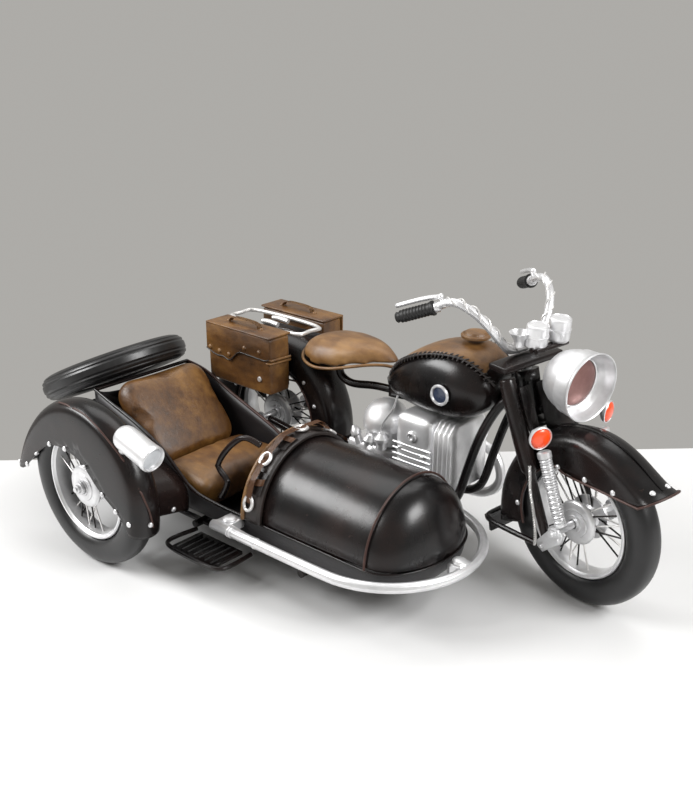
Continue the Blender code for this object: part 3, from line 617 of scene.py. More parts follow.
def studs(name, spots, radius, height, finish, body, sides=14):
    """Domed rivet heads, each sitting on a point and facing along its normal."""
    bm = bmesh.new()
    for place, normal in spots:
        dome = bmesh.ops.create_uvsphere(bm, u_segments=sides, v_segments=8, radius=1.0)
        size = Matrix.Diagonal((radius * RADIUS, radius * RADIUS, height * RADIUS, 1.0))
        bmesh.ops.transform(bm, matrix=axis_frame(place, normal) @ size, verts=dome["verts"])
    return piece(name, bm, finish, body, smooth=60.0)


def rounded_edges(bm, edges, offset, segments=2):
    """Rounds some edges of a bmesh. The offset is in metres."""
    bmesh.ops.bevel(bm, geom=edges, offset=offset, segments=segments, profile=0.5, affect="EDGES",
                    material=-1, clamp_overlap=True)


def rounded_block(size, rounding, segments=2):
    """A block about the origin with rounded edges, in metres."""
    bm = bmesh.new()
    bmesh.ops.create_cube(bm, size=1.0)
    bmesh.ops.scale(bm, vec=size, verts=bm.verts)
    rounded_edges(bm, bm.edges[:], rounding, segments)
    return bm


def ribbon(name, path, across, width, thickness, finish, body):
    """A flat strap along world points. across is the direction of its width at each point."""
    bm = bmesh.new()
    half = width * RADIUS / 2
    chain = [bm.verts.new(Vector(p) - Vector(a) * half) for p, a in zip(path, across)]
    edges = [bm.edges.new(pair) for pair in zip(chain, chain[1:])]
    grown = bmesh.ops.extrude_edge_only(bm, edges=edges)
    for vert in [v for v in grown["geom"] if isinstance(v, bmesh.types.BMVert)]:
        index = min(range(len(path)), key=lambda k: (chain[k].co - vert.co).length)
        vert.co += Vector(across[index]) * half * 2
    bmesh.ops.solidify(bm, geom=bm.faces[:], thickness=thickness * RADIUS)
    corners = [edge for edge in bm.edges if edge.calc_face_angle(0.0) > 1.0]
    rounded_edges(bm, corners, thickness * RADIUS * 0.25)
    return piece(name, bm, finish, body)


# %% [markdown]
# ## Wheels
#
# Each tyre is one smooth ring of rubber: round shoulders and a nearly flat tread. A
# profile that's turned about the axle gives it. The rim is turned too, with two rolled
# lips. The spokes are thin wires that cross between the hub and the rim, alternately
# bright and black, and the hub is a stepped, polished drum.


# %% Tyres
TYRE_MIDDLE = 0.828
TYRE_DEEP = 0.172
TYRE_HALF_WIDE = 0.166
SHOULDER = 0.72
GROOVE = 0.012


def tyre_outline(grooves=()):
    """The tyre's section by angle, from the bead over the side wall and shoulder to the tread.

    A shoulder below 1 squares the section's corners. grooves are the steps that are cut in.
    """
    half = []
    for k in range(22):
        angle = math.radians(-62 + k * 7.24)
        side = TYRE_HALF_WIDE * math.cos(angle) ** SHOULDER if k < 21 else 0.0
        dip = GROOVE if k in grooves else 0.0
        half.append((TYRE_MIDDLE + TYRE_DEEP * math.sin(angle) - dip, side))
    return both_sides(half)


WHEELS = {
    "front": (FRONT_AXLE, FRONT_SPIN, "front_wheel"),
    "rear": (REAR_AXLE, Vector((0, 1, 0)), "rear_wheel"),
    "sidecar": (SIDE_AXLE, Vector((0, 1, 0)), "sidecar_wheel"),
}
for which, (axle, along, body) in WHEELS.items():
    spun(f"{which}_tyre_ring", tyre_outline(), axle, along, TYRE, body, (f"{which}_tyre",), steps=96,
         closed=True, smooth=70.0)
print("three tyres,", round(TYRE_HALF_WIDE * 2 * RADIUS * 1000, 1), "mm wide")


# %% Rims, spokes and hubs
SPOKES = 12


def wheel_centre(which, axle, along, body):
    """The rim, the hub and two sets of spokes, which lean both ways and meet both hub flanges."""
    rim = [(0.672, 0.085), (0.668, 0.118), (0.655, 0.130), (0.638, 0.128), (0.630, 0.112), (0.612, 0.095),
           (0.604, 0.050), (0.600, 0.0)]
    spun(f"{which}_rim", both_sides(rim), axle, along, SILVER, body, (f"{which}_wheel",), steps=96,
         closed=True)
    hub = [(0.055, 0.175), (0.100, 0.172), (0.105, 0.158), (0.165, 0.155), (0.172, 0.143), (0.232, 0.140),
           (0.252, 0.128), (0.262, 0.108), (0.258, 0.092), (0.150, 0.084), (0.125, 0.060), (0.120, 0.0)]
    spun(f"{which}_hub", both_sides(hub), axle, along, SILVER, body, steps=48, closed=True)
    turn = axis_frame(axle, along)
    for tone, finish, offset in (("bright", WIRE, 0.0), ("black", BLACK, 0.5)):
        paths = []
        for i in range(SPOKES):
            angle = math.tau * (i + offset) / SPOKES
            side = 1 if i % 2 else -1
            lean = 0.30 if i % 4 < 2 else -0.30
            inner = Vector((0.145 * math.cos(angle), 0.145 * math.sin(angle), 0.088 * side))
            outer = Vector((0.606 * math.cos(angle + lean), 0.606 * math.sin(angle + lean), 0.020 * side))
            paths.append([turn @ (inner * RADIUS), turn @ (outer * RADIUS)])
        wires(f"{which}_{tone}_spokes", paths, 0.0105, finish, body, sides=2)


for which, (axle, along, body) in WHEELS.items():
    wheel_centre(which, axle, along, body)

# %% [markdown]
# The axle ends carry a stepped nut. The spare wheel leans on the boot. Its tyre has
# grooves cut round it, and its centre is a pressed dish, not spokes.


# %% Axle nuts and the spare wheel
def axle_nut(name, end, outward, body):
    nut = [(0.0, 0.085), (0.030, 0.082), (0.034, 0.060), (0.052, 0.056), (0.056, 0.030), (0.080, 0.026),
           (0.084, 0.0), (0.0, -0.01)]
    spun(name, nut, end, outward, SILVER, body, steps=24)


axle_nut("sidecar_axle_nut", SIDE_AXLE + RADIUS * Vector((0, -0.185, 0)), (0, -1, 0), "sidecar_wheel")
axle_nut("rear_axle_nut_right", REAR_AXLE + RADIUS * Vector((0, -0.42, 0)), (0, -1, 0), "bike")
axle_nut("rear_axle_nut_left", REAR_AXLE + RADIUS * Vector((0, 0.42, 0)), (0, 1, 0), "bike")

SPARE_LEAN = math.radians(-27)
SPARE_AXIS = Vector((math.sin(SPARE_LEAN), 0.0, math.cos(SPARE_LEAN)))
SPARE = at(-6.37, CAR_Y - 0.02, 1.63)
spun("spare_tyre_ring", tyre_outline(grooves=(8, 12, 16, 19)), SPARE, SPARE_AXIS, TYRE, "bike",
     ("spare_tyre",), steps=96, closed=True, smooth=30.0)
dish = [(0.0, 0.085), (0.11, 0.080), (0.125, 0.055), (0.17, 0.020), (0.42, 0.0), (0.52, 0.02), (0.57, 0.105),
        (0.60, 0.118), (0.655, 0.125), (0.672, 0.095), (0.672, -0.095), (0.655, -0.12), (0.58, -0.118),
        (0.50, -0.06), (0.0, -0.06)]
spun("spare_dish", dish, SPARE, SPARE_AXIS, SILVER, "bike", ("spare_rim",), steps=64)

# %% [markdown]
# ## Mudguards
#
# The mudguards are single pressings. Their edges were rolled and then rubbed through to
# brown, so a thin wire of the rubbed finish follows each edge. Rivets are small polished
# domes, snapped to the nearest point of the sheet.

# %% Front mudguard
HALF = 0.262
TIP = math.radians(34.5)
refined("front_fender", BLACK, crease=55.0)
low_edge = [(0.902, 0.62), (0.45, 0.62), (-0.05, 0.62), (-0.24, 0.66), (-0.45, 0.535), (-0.606, 0.35),
            (-0.685, 0.146), (-0.698, -0.05), (-0.655, -0.24)]
edge_paths = [flowing([front(x, side * (HALF + 0.002), z - 0.004) for x, z in low_edge], 4)
              for side in (-1, 1)]
lip = []
for k in range(17):
    swing = math.pi * k / 16
    reach = 1.165 + 0.155 * math.sin(swing)
    lip.append(front(reach * math.cos(TIP), -HALF * math.cos(swing), reach * math.sin(TIP)))
lip = [front(0.902, -HALF, 0.62)] + lip + [front(0.902, HALF, 0.62)]
wires("front_fender_edges", edge_paths + [lip], 0.0135, EDGE, "fork")
ridge = []
for degrees, crown in ((38, 1.25), (44, 1.20), (54, 1.165), (66, 1.15), (80, 1.14), (95, 1.12), (110, 1.10),
                       (130, 1.09), (150, 1.10), (168, 1.13), (184, 1.17), (198, 1.21)):
    swing = math.radians(degrees)
    ridge.append(front(crown * math.cos(swing), 0.0, crown * math.sin(swing)))
wires("front_fender_seam", [flowing(ridge, 5)], 0.009, BLACK, "fork")
rivets = [front(x, side * 0.27, z) for side in (-1, 1)
          for x, z in ((-0.19, 0.66), (0.19, 0.66), (0.57, 0.66), (-0.76, -0.02), (-0.62, 0.42))]
rivets += [front(0.985, side * 0.13, 0.83) for side in (-1, 1)]
studs("front_fender_rivets", snapped("front_fender", rivets), 0.034, 0.020, SILVER, "fork")

# Rear mudguard
def round_rear_axle(degrees, reach, y):
    """A place at an angle round the rear axle and y off the wheel's middle, in wheel radii."""
    swing = math.radians(degrees)
    return REAR_AXLE + RADIUS * Vector((reach * math.cos(swing), y, reach * math.sin(swing)))


refined("rear_fender", BLACK, crease=55.0)
rear_edges = []
rear_rivets = []
for side in (-1, 1):
    arc = []
    for degrees in range(-6, 201, 8):
        reach = 0.80 if degrees < 56 else 0.62 if degrees > 66 else 0.71
        arc.append(round_rear_axle(degrees, reach, side * 0.272))
    rear_edges.append(flowing(arc, 2))
    for degrees in (2, 22, 44, 72, 100, 128, 156, 184):
        reach = 0.90 if degrees < 60 else 0.72
        rear_rivets.append(round_rear_axle(degrees, reach, side * 0.3))
wires("rear_fender_edges", rear_edges, 0.0125, EDGE, "bike")
studs("rear_fender_rivets", snapped("rear_fender", rear_rivets), 0.030, 0.018, SILVER, "bike")

# %% Sidecar mudguard
refined("sidecar_fender", BLACK, crease=58.0)
crease_line = [(-5.30, -3.30, 1.88), (-5.04, -3.34, 1.975), (-4.76, -3.37, 2.00), (-4.53, -3.375, 1.98),
               (-4.31, -3.38, 1.90), (-4.15, -3.38, 1.81), (-4.03, -3.37, 1.72), (-3.93, -3.35, 1.62),
               (-3.83, -3.33, 1.49), (-3.74, -3.31, 1.32), (-3.69, -3.28, 1.16), (-3.66, -3.24, 0.99),
               (-3.65, -3.21, 0.80)]
spots = snapped("sidecar_fender", flowing([at(*p) for p in crease_line], 6))
crease = [place + normal * 0.004 * RADIUS for place, normal in spots]
wires("sidecar_fender_crease", [crease], 0.011, EDGE, "bike")
skirt_rivets = [(-3.81, -3.5, 0.86), (-4.10, -3.5, 0.84), (-4.29, -3.5, 1.04), (-4.57, -3.5, 1.32),
                (-4.92, -3.5, 1.46), (-5.23, -3.5, 1.43), (-5.50, -3.5, 1.20), (-5.75, -3.5, 0.98),
                (-6.02, -3.5, 0.98), (-3.64, -3.24, 0.84), (-4.02, -2.60, 0.66)]
studs("sidecar_fender_rivets", snapped("sidecar_fender", [at(*p) for p in skirt_rivets]), 0.034, 0.020,
      SILVER, "bike")

# %% [markdown]
# ## Frame, fork and bars
#
# Frame tubes, yokes and legs are painted tin. The fork springs are real coils wound on a
# rod, because a plain rod would lose the sparkle that a coil gives.

# %% Frame and fork
LEG_Y = 0.378
SPRING_Y = LEG_Y + 0.085
LINK_BOLT_Y = LEG_Y + 0.105
SPRING_FOOT = 0.042
SPRING_LONG = 0.72
for node in ("frame_tube_left", "frame_tube_right", "seat_rail"):
    refined(node, BLACK, swell=0.0040)
for node in ("backbone", "top_yoke", "lower_yoke", "sidecar_chassis"):
    refined(node, BLACK)
refined("crash_bar", BLACK, swell=0.0025)
for side, label in SIDES:
    refined(f"fork_leg_{label}", BLACK, swell=0.002)
    y = SPRING_Y * side
    foot = front(0.080, y, 0.115)
    crown = front(-0.200, y, 0.84)
    rise = (crown - foot).normalized()
    rod = [(0.0, 0.0), (0.062, 0.0), (0.068, 0.01), (0.068, 0.035), (0.050, 0.045), (0.050, 0.76),
           (0.070, 0.765), (0.078, 0.775), (0.078, 0.835), (0.060, 0.85), (0.0, 0.85)]
    spun(f"spring_rod_{label}", rod, foot, rise, SILVER, "fork", (f"spring_{label}",), steps=24)
    ends = [foot + rise * height * RADIUS for height in (SPRING_FOOT, SPRING_FOOT + SPRING_LONG)]
    winding = coil(ends, 0.058, 0.0285, per_turn=14)
    wires(f"spring_coil_{label}", [winding], 0.0135, SILVER, "fork", sides=1)
    cable = flowing([front(-0.40, y + 0.015 * side, 0.66), front(-0.33, y + 0.06 * side, 0.40),
                     front(-0.27, y + 0.05 * side, 0.12), front(-0.26, y + 0.02 * side, -0.16),
                     front(-0.30, y - 0.02 * side, -0.30)], 5)
    twist = [coil(cable, 0.011, 0.06, phase) for phase in (0.0, math.pi)]
    wires(f"leg_chain_{label}", twist, 0.0085, WIRE, "fork", sides=1)

refined("front_axle", SILVER, crease=30.0)
refined("steering_stem", SILVER)
for side, label in reversed(SIDES):
    outwards = turned_with_bars(0, side, 0)
    for end, x, z in (("low", -0.165, -0.245), ("high", 0.075, -0.065)):
        spot = front(x, LINK_BOLT_Y * side, z)
        studs(f"link_bolt_{label}_{end}", [(spot, outwards)], 0.024, 0.018, SILVER, "fork")
    axle_nut(f"front_axle_nut_{label}", front(0, 0.46 * side, 0), outwards, "fork")

# %% [markdown]
# The handlebar is plated tube with the control cables wound round it as a two-strand
# twist. The grips are turned with shallow ribs.

# %% Handlebar, cables and grips
refined("handlebar", SILVER, swell=0.009)
GRIP_IN = Vector((-1.68, 0.75, 2.21))
GRIP_OUT = Vector((-2.06, 0.98, 2.05))
GRIP_RIBS = 9
bar_half = [(-1.09, 0.05, 1.74), (-1.075, 0.24, 1.80), (-1.085, 0.40, 1.99), (-1.205, 0.57, 2.225),
            (-1.405, 0.68, 2.33), (-1.56, 0.715, 2.29)]
for side, label in SIDES:
    run = flowing([front(x, y * side, z) for x, y, z in bar_half], 8)
    strands = [coil(run, 0.049, 0.34, phase + (0.0 if side > 0 else 1.2)) for phase in (0.0, math.pi)]
    wires(f"bar_cable_{label}", strands, 0.0095, WIRE, "fork", sides=1)
    start = front(GRIP_IN.x, GRIP_IN.y * side, GRIP_IN.z)
    end = front(GRIP_OUT.x, GRIP_OUT.y * side, GRIP_OUT.z)
    reach = (end - start).length / RADIUS
    outline = [(0.0, -0.004), (0.070, 0.0), (0.084, 0.008), (0.084, 0.030), (0.074, 0.038)]
    for k in range(GRIP_RIBS * 4):
        along = 0.05 + (reach - 0.12) * k / (GRIP_RIBS * 4)
        outline.append((0.0745 if k % 4 < 2 else 0.068, along))
    outline += [(0.072, reach - 0.06), (0.058, reach - 0.05), (0.056, reach - 0.03), (0.062, reach - 0.012),
                (0.052, reach), (0.0, reach + 0.004)]
    spun(f"ribbed_grip_{label}", outline, start, end - start, GRIP, "fork", (f"grip_{label}",), steps=40)
    collar = [(0.0, -0.07), (0.052, -0.07), (0.060, -0.055), (0.060, -0.015), (0.050, -0.006), (0.0, -0.006)]
    spun(f"grip_collar_{label}", collar, start, end - start, SILVER, "fork", steps=32)
    knob = start + Vector((0, 0, 0.112 * RADIUS)) - (end - start).normalized() * 0.07 * RADIUS
    studs(f"lever_knob_{label}", [(knob, Vector((0, 0, 1)))], 0.034, 0.034, SILVER, "fork")

# %% [markdown]
# The headlamp is a deep spun bowl with a step round its waist and a rolled rim. Inside, a
# bright cone leads to a coppery disc that stands in for the glass.

# %% Headlamp
LAMP = front(-0.06, 0, 1.57)
LAMP_AXIS = turned_with_bars(1, 0, -0.06).normalized()
bowl = [(0.0, -0.52), (0.07, -0.518), (0.14, -0.505), (0.21, -0.470), (0.265, -0.420), (0.305, -0.350),
        (0.332, -0.275), (0.346, -0.200), (0.350, -0.185), (0.361, -0.180), (0.363, -0.165), (0.366, -0.09),
        (0.374, -0.02), (0.381, 0.010), (0.387, 0.018), (0.388, 0.030), (0.381, 0.038), (0.372, 0.034),
        (0.366, 0.018), (0.352, -0.030), (0.338, -0.080), (0.332, -0.088), (0.312, -0.120), (0.292, -0.150),
        (0.282, -0.156), (0.272, -0.170), (0.0, -0.180)]
spun("headlight_bowl", bowl, LAMP, LAMP_AXIS, SILVER, "fork", ("headlight_shell",), steps=96, smooth=50.0)
disc = [(0.0, -0.122), (0.10, -0.125), (0.18, -0.132), (0.235, -0.142), (0.256, -0.152), (0.260, -0.160),
        (0.250, -0.166), (0.0, -0.166)]
spun("headlight_disc", disc, LAMP, LAMP_AXIS, COPPER, "fork", ("headlight_lens",), steps=64)
ring = [(0.260, -0.164), (0.272, -0.164), (0.278, -0.150), (0.272, -0.140), (0.262, -0.144)]
spun("headlight_inner_ring", ring, LAMP, LAMP_AXIS, SILVER, "fork", steps=64, closed=True)

# %% [markdown]
# Two plain drums stand on a small shelf behind the headlamp, with an open cup beside
# them. Their faces are left blank. Thin plates close the gaps between the fork legs, and
# each turn signal is a turned cup with a domed orange lens.


# %% Gauges
def gauge(name, place, radius, tall, replaced=()):
    """A drum with a rolled waist band and a shallow rim round its blank top."""
    drum = [(0.0, -tall), (radius * 0.90, -tall), (radius * 0.97, -tall + 0.01), (radius, -tall + 0.03),
            (radius, -0.006), (radius + 0.007, -0.002), (radius + 0.007, 0.008), (radius, 0.012),
            (radius, tall - 0.035), (radius * 0.97, tall - 0.012), (radius * 0.88, tall - 0.002),
            (radius * 0.80, tall), (radius * 0.76, tall - 0.006), (0.0, tall - 0.006)]
    spun(name, drum, place, turned_with_bars(0.1, 0, 1), SILVER, "fork", replaced, steps=48)


gauge("gauge_left", front(-0.66, 0.15, 2.03), 0.125, 0.13, ("gauge_cluster",))
gauge("gauge_right", front(-0.72, -0.13, 2.00), 0.125, 0.13)
cup = [(0.0, -0.10), (0.055, -0.10), (0.060, -0.06), (0.070, -0.02), (0.110, 0.04), (0.118, 0.06),
       (0.108, 0.06), (0.06, 0.0), (0.0, -0.01)]
spun("ignition_cup", cup, front(-0.84, -0.27, 1.98), turned_with_bars(0, 0, 1), SILVER, "fork", steps=32)
shelf = flowing([front(-0.62, y, 1.865) for y in (-0.24, -0.10, 0.10, 0.24)], 3)
wires("gauge_shelf", [shelf, [p + Vector((-0.06 * RADIUS, 0, 0)) for p in shelf]], 0.030, BLACK, "fork")

# %% Plates between the fork legs
SHROUD_LOW = 0.86
SHROUD_HIGH = 1.46
FORK_LEAN = math.atan2(-0.70, 1.66)
middle = (SHROUD_LOW + SHROUD_HIGH) / 2
for name, start, end in (("fork_shroud_right", -0.335, -0.185), ("fork_shroud_left", -0.075, 0.335)):
    bm = rounded_block(RADIUS * Vector((0.022, end - start, SHROUD_HIGH - SHROUD_LOW)), 0.008 * RADIUS)
    bmesh.ops.transform(bm, matrix=Matrix.Rotation(FORK_LEAN, 4, "Y"), verts=bm.verts)
    spot = at(FRONT_AXLE_X - 0.50 - (middle - 0.84) * 0.42, (start + end) / 2, FRONT_AXLE_Z + middle)
    bmesh.ops.transform(bm, matrix=STEER @ Matrix.Translation(spot), verts=bm.verts)
    piece(name, bm, BLACK, "fork")

# %% Turn signals
for side, label in SIDES:
    place = front(-0.35, 0.49 * side, 1.09)
    facing = turned_with_bars(0.95, 0.30 * side, -0.05)
    holder = [(0.0, 0.0), (0.042, 0.0), (0.046, 0.05), (0.075, 0.075), (0.118, 0.100), (0.130, 0.125),
              (0.132, 0.150), (0.124, 0.158), (0.116, 0.150), (0.112, 0.130), (0.0, 0.120)]
    spun(f"turn_signal_cup_{label}", holder, place, facing, SILVER, "fork", (f"turn_signal_{label}",),
         steps=40)
    lens = [(0.0, 0.186), (0.04, 0.183), (0.08, 0.174), (0.106, 0.160), (0.113, 0.148), (0.110, 0.135),
            (0.0, 0.130)]
    spun(f"turn_signal_lens_{label}", lens, place, facing, ORANGE, "fork", steps=40)

# %% [markdown]
# ## Engine
#
# The engine is one polished block with a ribbed front cover, a domed air filter, and
# small turned fittings between them. Its finish has shallow dents, so its highlights
# wander as they do on beaten tin.

# %% Engine block, cover and gearbox
for node in ("engine_case", "gearbox"):
    refined(node, ENGINE, crease=60.0)
for node in ("front_cover", "cylinder_left"):
    refined(node, ENGINE, crease=30.0)
refined("exhaust_pipe", SILVER, swell=0.004)
boss = [(0.0, 0.012), (0.030, 0.010), (0.034, 0.030), (0.050, 0.034), (0.064, 0.024), (0.070, 0.0),
        (0.0, -0.02)]
spun("engine_boss", boss, at(-2.16, -0.41, 1.45), (0, -1, 0), SILVER, "bike", steps=32)
for k, (x, z) in enumerate(((-2.34, 0.84), (-2.00, 0.84), (-2.34, 1.26), (-2.00, 1.22))):
    studs(f"engine_bolt_{k}", [(at(x, -0.412, z), Vector((0, -1, 0)))], 0.026, 0.018, SILVER, "bike", sides=6)
fins = [[at(x, -0.397, z) for x in (-2.45, -2.17, -1.88)] for z in (1.31, 1.235, 1.16, 1.085, 1.01)]
wires("engine_fins", fins, 0.015, ENGINE, "bike")

# %% Air filter and carburettor
dome = [(0.0, -0.30), (0.215, -0.30), (0.240, -0.285), (0.250, -0.26), (0.250, -0.12), (0.262, -0.100),
        (0.285, -0.090), (0.290, -0.075), (0.290, 0.020), (0.284, 0.050), (0.270, 0.095), (0.245, 0.145),
        (0.205, 0.195), (0.155, 0.235), (0.095, 0.262), (0.040, 0.272), (0.0, 0.275)]
spun("air_filter_dome", dome, at(-2.77, -0.14, 1.43), (0, 0, 1), ENGINE, "bike", ("air_filter",), steps=64)
fittings = (((-2.62, -0.42, 1.16), (0, 0, 1), 0.070, 0.20),
            ((-2.80, -0.46, 1.13), (0.3, -0.2, 1), 0.055, 0.22),
            ((-2.98, -0.40, 1.12), (-0.5, 0, 1), 0.050, 0.24),
            ((-2.70, -0.50, 1.14), (0, -1, 0.2), 0.045, 0.07))
for k, (place, aim, size, tall) in enumerate(fittings):
    cap = [(0.0, 0.0), (size, 0.0), (size, tall * 0.45), (size * 1.35, tall * 0.50),
           (size * 1.35, tall * 0.72), (size * 0.9, tall * 0.86), (size * 0.5, tall), (0.0, tall)]
    spun(f"carburettor_part_{k}", cap, at(*place), aim, SILVER, "bike", steps=24)
fuel_line = [at(-2.66, -0.40, 1.34), at(-2.60, -0.40, 1.52), at(-2.50, -0.36, 1.70), at(-2.46, -0.32, 1.88)]
wires("fuel_line", [flowing(fuel_line, 5)], 0.014, SILVER, "bike")

# %% [markdown]
# ## Tank and saddle
#
# The tank's two painted halves are laced to a leather panel along the top. A thin dark
# cord lies in each seam, and short separate stitches, each a little hook of cord that
# leans along the seam, pass over it. The badge is a plain ring round a plain disc.

# %% Tank, panel and lacing
SEAM_PROUD = 0.012
STITCH_PITCH = 0.052
STITCH_LEAN = 0.030
# One stitch as places out from the seam, up from it, and along the lean.
STITCH_HOOK = ((0.016, -0.036, -1.0), (0.012, -0.004, -0.5), (0.0, 0.020, 0.0),
               (-0.024, 0.026, 0.6), (-0.042, 0.012, 1.0))
refined("tank", BLACK, crease=60.0)
refined("tank_top_panel", TAN, crease=60.0)
seam = [(-2.72, 0.150, 2.045), (-2.50, 0.270, 2.27), (-2.20, 0.345, 2.44), (-1.92, 0.370, 2.53),
        (-1.62, 0.360, 2.56), (-1.42, 0.330, 2.51), (-1.27, 0.280, 2.40), (-1.17, 0.210, 2.28)]
for side, label in SIDES:
    run = flowing([at(x, y * side, z + SEAM_PROUD) for x, y, z in seam], 12)
    wires(f"tank_seam_cord_{label}", [run], 0.014, DARK_HIDE, "bike")
    stitches = []
    walked = 0.0
    for here, there in zip(run, run[1:]):
        walked += (there - here).length / RADIUS
        if walked < STITCH_PITCH:
            continue
        walked = 0.0
        along = (there - here).normalized()
        out = along.cross(Vector((0, 0, 1))).normalized() * -side
        up = along.cross(out).normalized()
        up = up if up.z > 0 else -up
        lean = along * STITCH_LEAN
        stitches.append([here + RADIUS * (out * reach + up * rise + lean * slant)
                         for reach, rise, slant in STITCH_HOOK])
    wires(f"tank_lacing_{label}", stitches, 0.0088, DARK_HIDE, "bike", sides=2)
    print(len(stitches), "stitches along the", label, "seam")
filler = [(0.0, 0.0), (0.135, 0.0), (0.160, 0.010), (0.174, 0.022), (0.176, 0.045), (0.166, 0.056),
          (0.148, 0.060), (0.140, 0.054), (0.132, 0.070), (0.118, 0.084), (0.060, 0.092), (0.0, 0.094)]
spun("filler_cap_turned", filler, at(-1.60, 0.0, 2.715), (0, 0, 1), TAN, "bike", ("filler_cap",), steps=48)
badge = [(0.090, 0.0), (0.124, 0.0), (0.128, 0.014), (0.118, 0.030), (0.102, 0.030), (0.094, 0.018)]
BADGE_PLACE = at(-1.71, -0.503, 2.13)
BADGE_FACING = (0.0, -1, -0.02)
spun("tank_badge_ring", badge, BADGE_PLACE, BADGE_FACING, SILVER, "bike", ("tank_disc",), steps=40,
     closed=True)
centre = [(0.0, 0.022), (0.05, 0.020), (0.090, 0.014), (0.100, 0.002), (0.0, 0.0)]
spun("tank_badge_centre", centre, BADGE_PLACE, BADGE_FACING, BADGE_CENTRE, "bike", steps=40)

# %% [markdown]
# ## Padded leather
#
# The saddle and the sidecar's two pads are stuffed. The sidecar's pads start from blocks
# with rounded corners and a crowned front, and the saddle from its own solid, slightly
# smaller. A cloth simulation then blows each one up: the shape is remeshed evenly, given
# cloth with a little pressure and no gravity, and run for twenty frames. The toy is
# small, so it's done at ten times its size. How far any point may move is capped, which
# keeps each pad inside its space. The cloth is stiff, because thin leather over firm
# stuffing hardly bulges.


# %% Blow up a pad
def settled_cloth(obj, pressure, frames=20):
    cloth = obj.modifiers.new("cloth", "CLOTH")
    settings = cloth.settings
    settings.use_pressure = True
    settings.uniform_pressure_force = pressure
    settings.effector_weights.gravity = 0.0
    settings.tension_stiffness = 40.0
    settings.compression_stiffness = 40.0
    settings.shear_stiffness = 20.0
    settings.bending_stiffness = 8.0
    scene = bpy.context.scene
    for step in range(1, frames + 1):
        scene.frame_set(step)
    mesh = bpy.data.meshes.new_from_object(obj.evaluated_get(bpy.context.evaluated_depsgraph_get()))
    obj.modifiers.clear()
    scene.frame_set(1)
    return mesh


ENLARGED = 10.0


def stuffed(node, finish, bm, cap, voxel=0.018, pressure=4.0):
    """A leather pad that swells from a shape in wheel radii. cap and voxel are for the enlarged copy."""
    low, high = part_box(node)
    middle = (low + high) / 2
    bmesh.ops.scale(bm, vec=Vector((1, 1, 1)) * RADIUS * ENLARGED, verts=bm.verts)
    mesh = bpy.data.meshes.new(f"{node}_stuffing")
    bm.to_mesh(mesh)
    bm.free()
    obj = bpy.data.objects.new(f"{node}_stuffing", mesh)
    bpy.context.scene.collection.objects.link(obj)
    even = obj.modifiers.new("even", "REMESH")
    even.mode = "VOXEL"
    even.voxel_size = voxel
    start = bpy.data.meshes.new_from_object(obj.evaluated_get(bpy.context.evaluated_depsgraph_get()))
    obj.modifiers.clear()
    obj.data = start
    end = settled_cloth(obj, pressure)
    furthest = 0.0
    for before, after in zip(start.vertices, end.vertices):
        move = after.co - before.co
        furthest = max(furthest, move.length)
        if move.length > cap:
            after.co = before.co + move * (cap / move.length)
    bm = bmesh.new()
    bm.from_mesh(end)
    bpy.data.objects.remove(obj)
    for _ in range(2):
        bmesh.ops.smooth_vert(bm, verts=bm.verts, factor=0.5, use_axis_x=True, use_axis_y=True,
                              use_axis_z=True)
    bmesh.ops.scale(bm, vec=Vector((1, 1, 1)) / ENLARGED, verts=bm.verts)
    bmesh.ops.translate(bm, vec=middle, verts=bm.verts)
    pad = piece(f"{node}_pad", bm, finish, BODY_OF[node], (node,), smooth=None)
    surface = pad.modifiers.new("surface", "SUBSURF")
    surface.levels = 1
    surface.render_levels = 1
    print(node, "moved at most", round(furthest / ENLARGED * 1000, 2), "mm, capped at",
          cap / ENLARGED * 1000, "mm")


# %% The first shape of a pad
def rounded_pad(thick, width, tall, corner, edge, crown):
    """A pad standing on its side: x is its thickness, and its front swells by the crown."""
    bm = bmesh.new()
    bmesh.ops.create_cube(bm, size=1.0)
    bmesh.ops.scale(bm, vec=Vector((thick, width, tall)), verts=bm.verts)
    corners = [e for e in bm.edges if abs(e.verts[0].co.x - e.verts[1].co.x) > thick * 0.9]
    bmesh.ops.bevel(bm, geom=corners, offset=corner, segments=7, profile=0.5, affect="EDGES", material=-1)
    rims = [e for e in bm.edges if abs(e.verts[0].co.x - e.verts[1].co.x) < thick * 0.1]
    bmesh.ops.bevel(bm, geom=rims, offset=edge, segments=5, profile=0.5, affect="EDGES", material=-1)
    ngons = [f for f in bm.faces if len(f.verts) > 4]
    bmesh.ops.triangulate(bm, faces=ngons)
    for k in range(3):
        long_edges = [e for e in bm.edges if e.calc_length() > 0.12]
        if long_edges:
            bmesh.ops.subdivide_edges(bm, edges=long_edges, cuts=1, use_grid_fill=True)
    bmesh.ops.triangulate(bm, faces=[f for f in bm.faces if len(f.verts) > 4])
    for vert in bm.verts:
        across = min(1.0, abs(2 * vert.co.y / width))
        along = min(1.0, abs(2 * vert.co.z / tall))
        dome = (1 - across ** 2.6) * (1 - along ** 2.6)
        if vert.co.x > 0:
            vert.co.x += crown * dome
    return bm


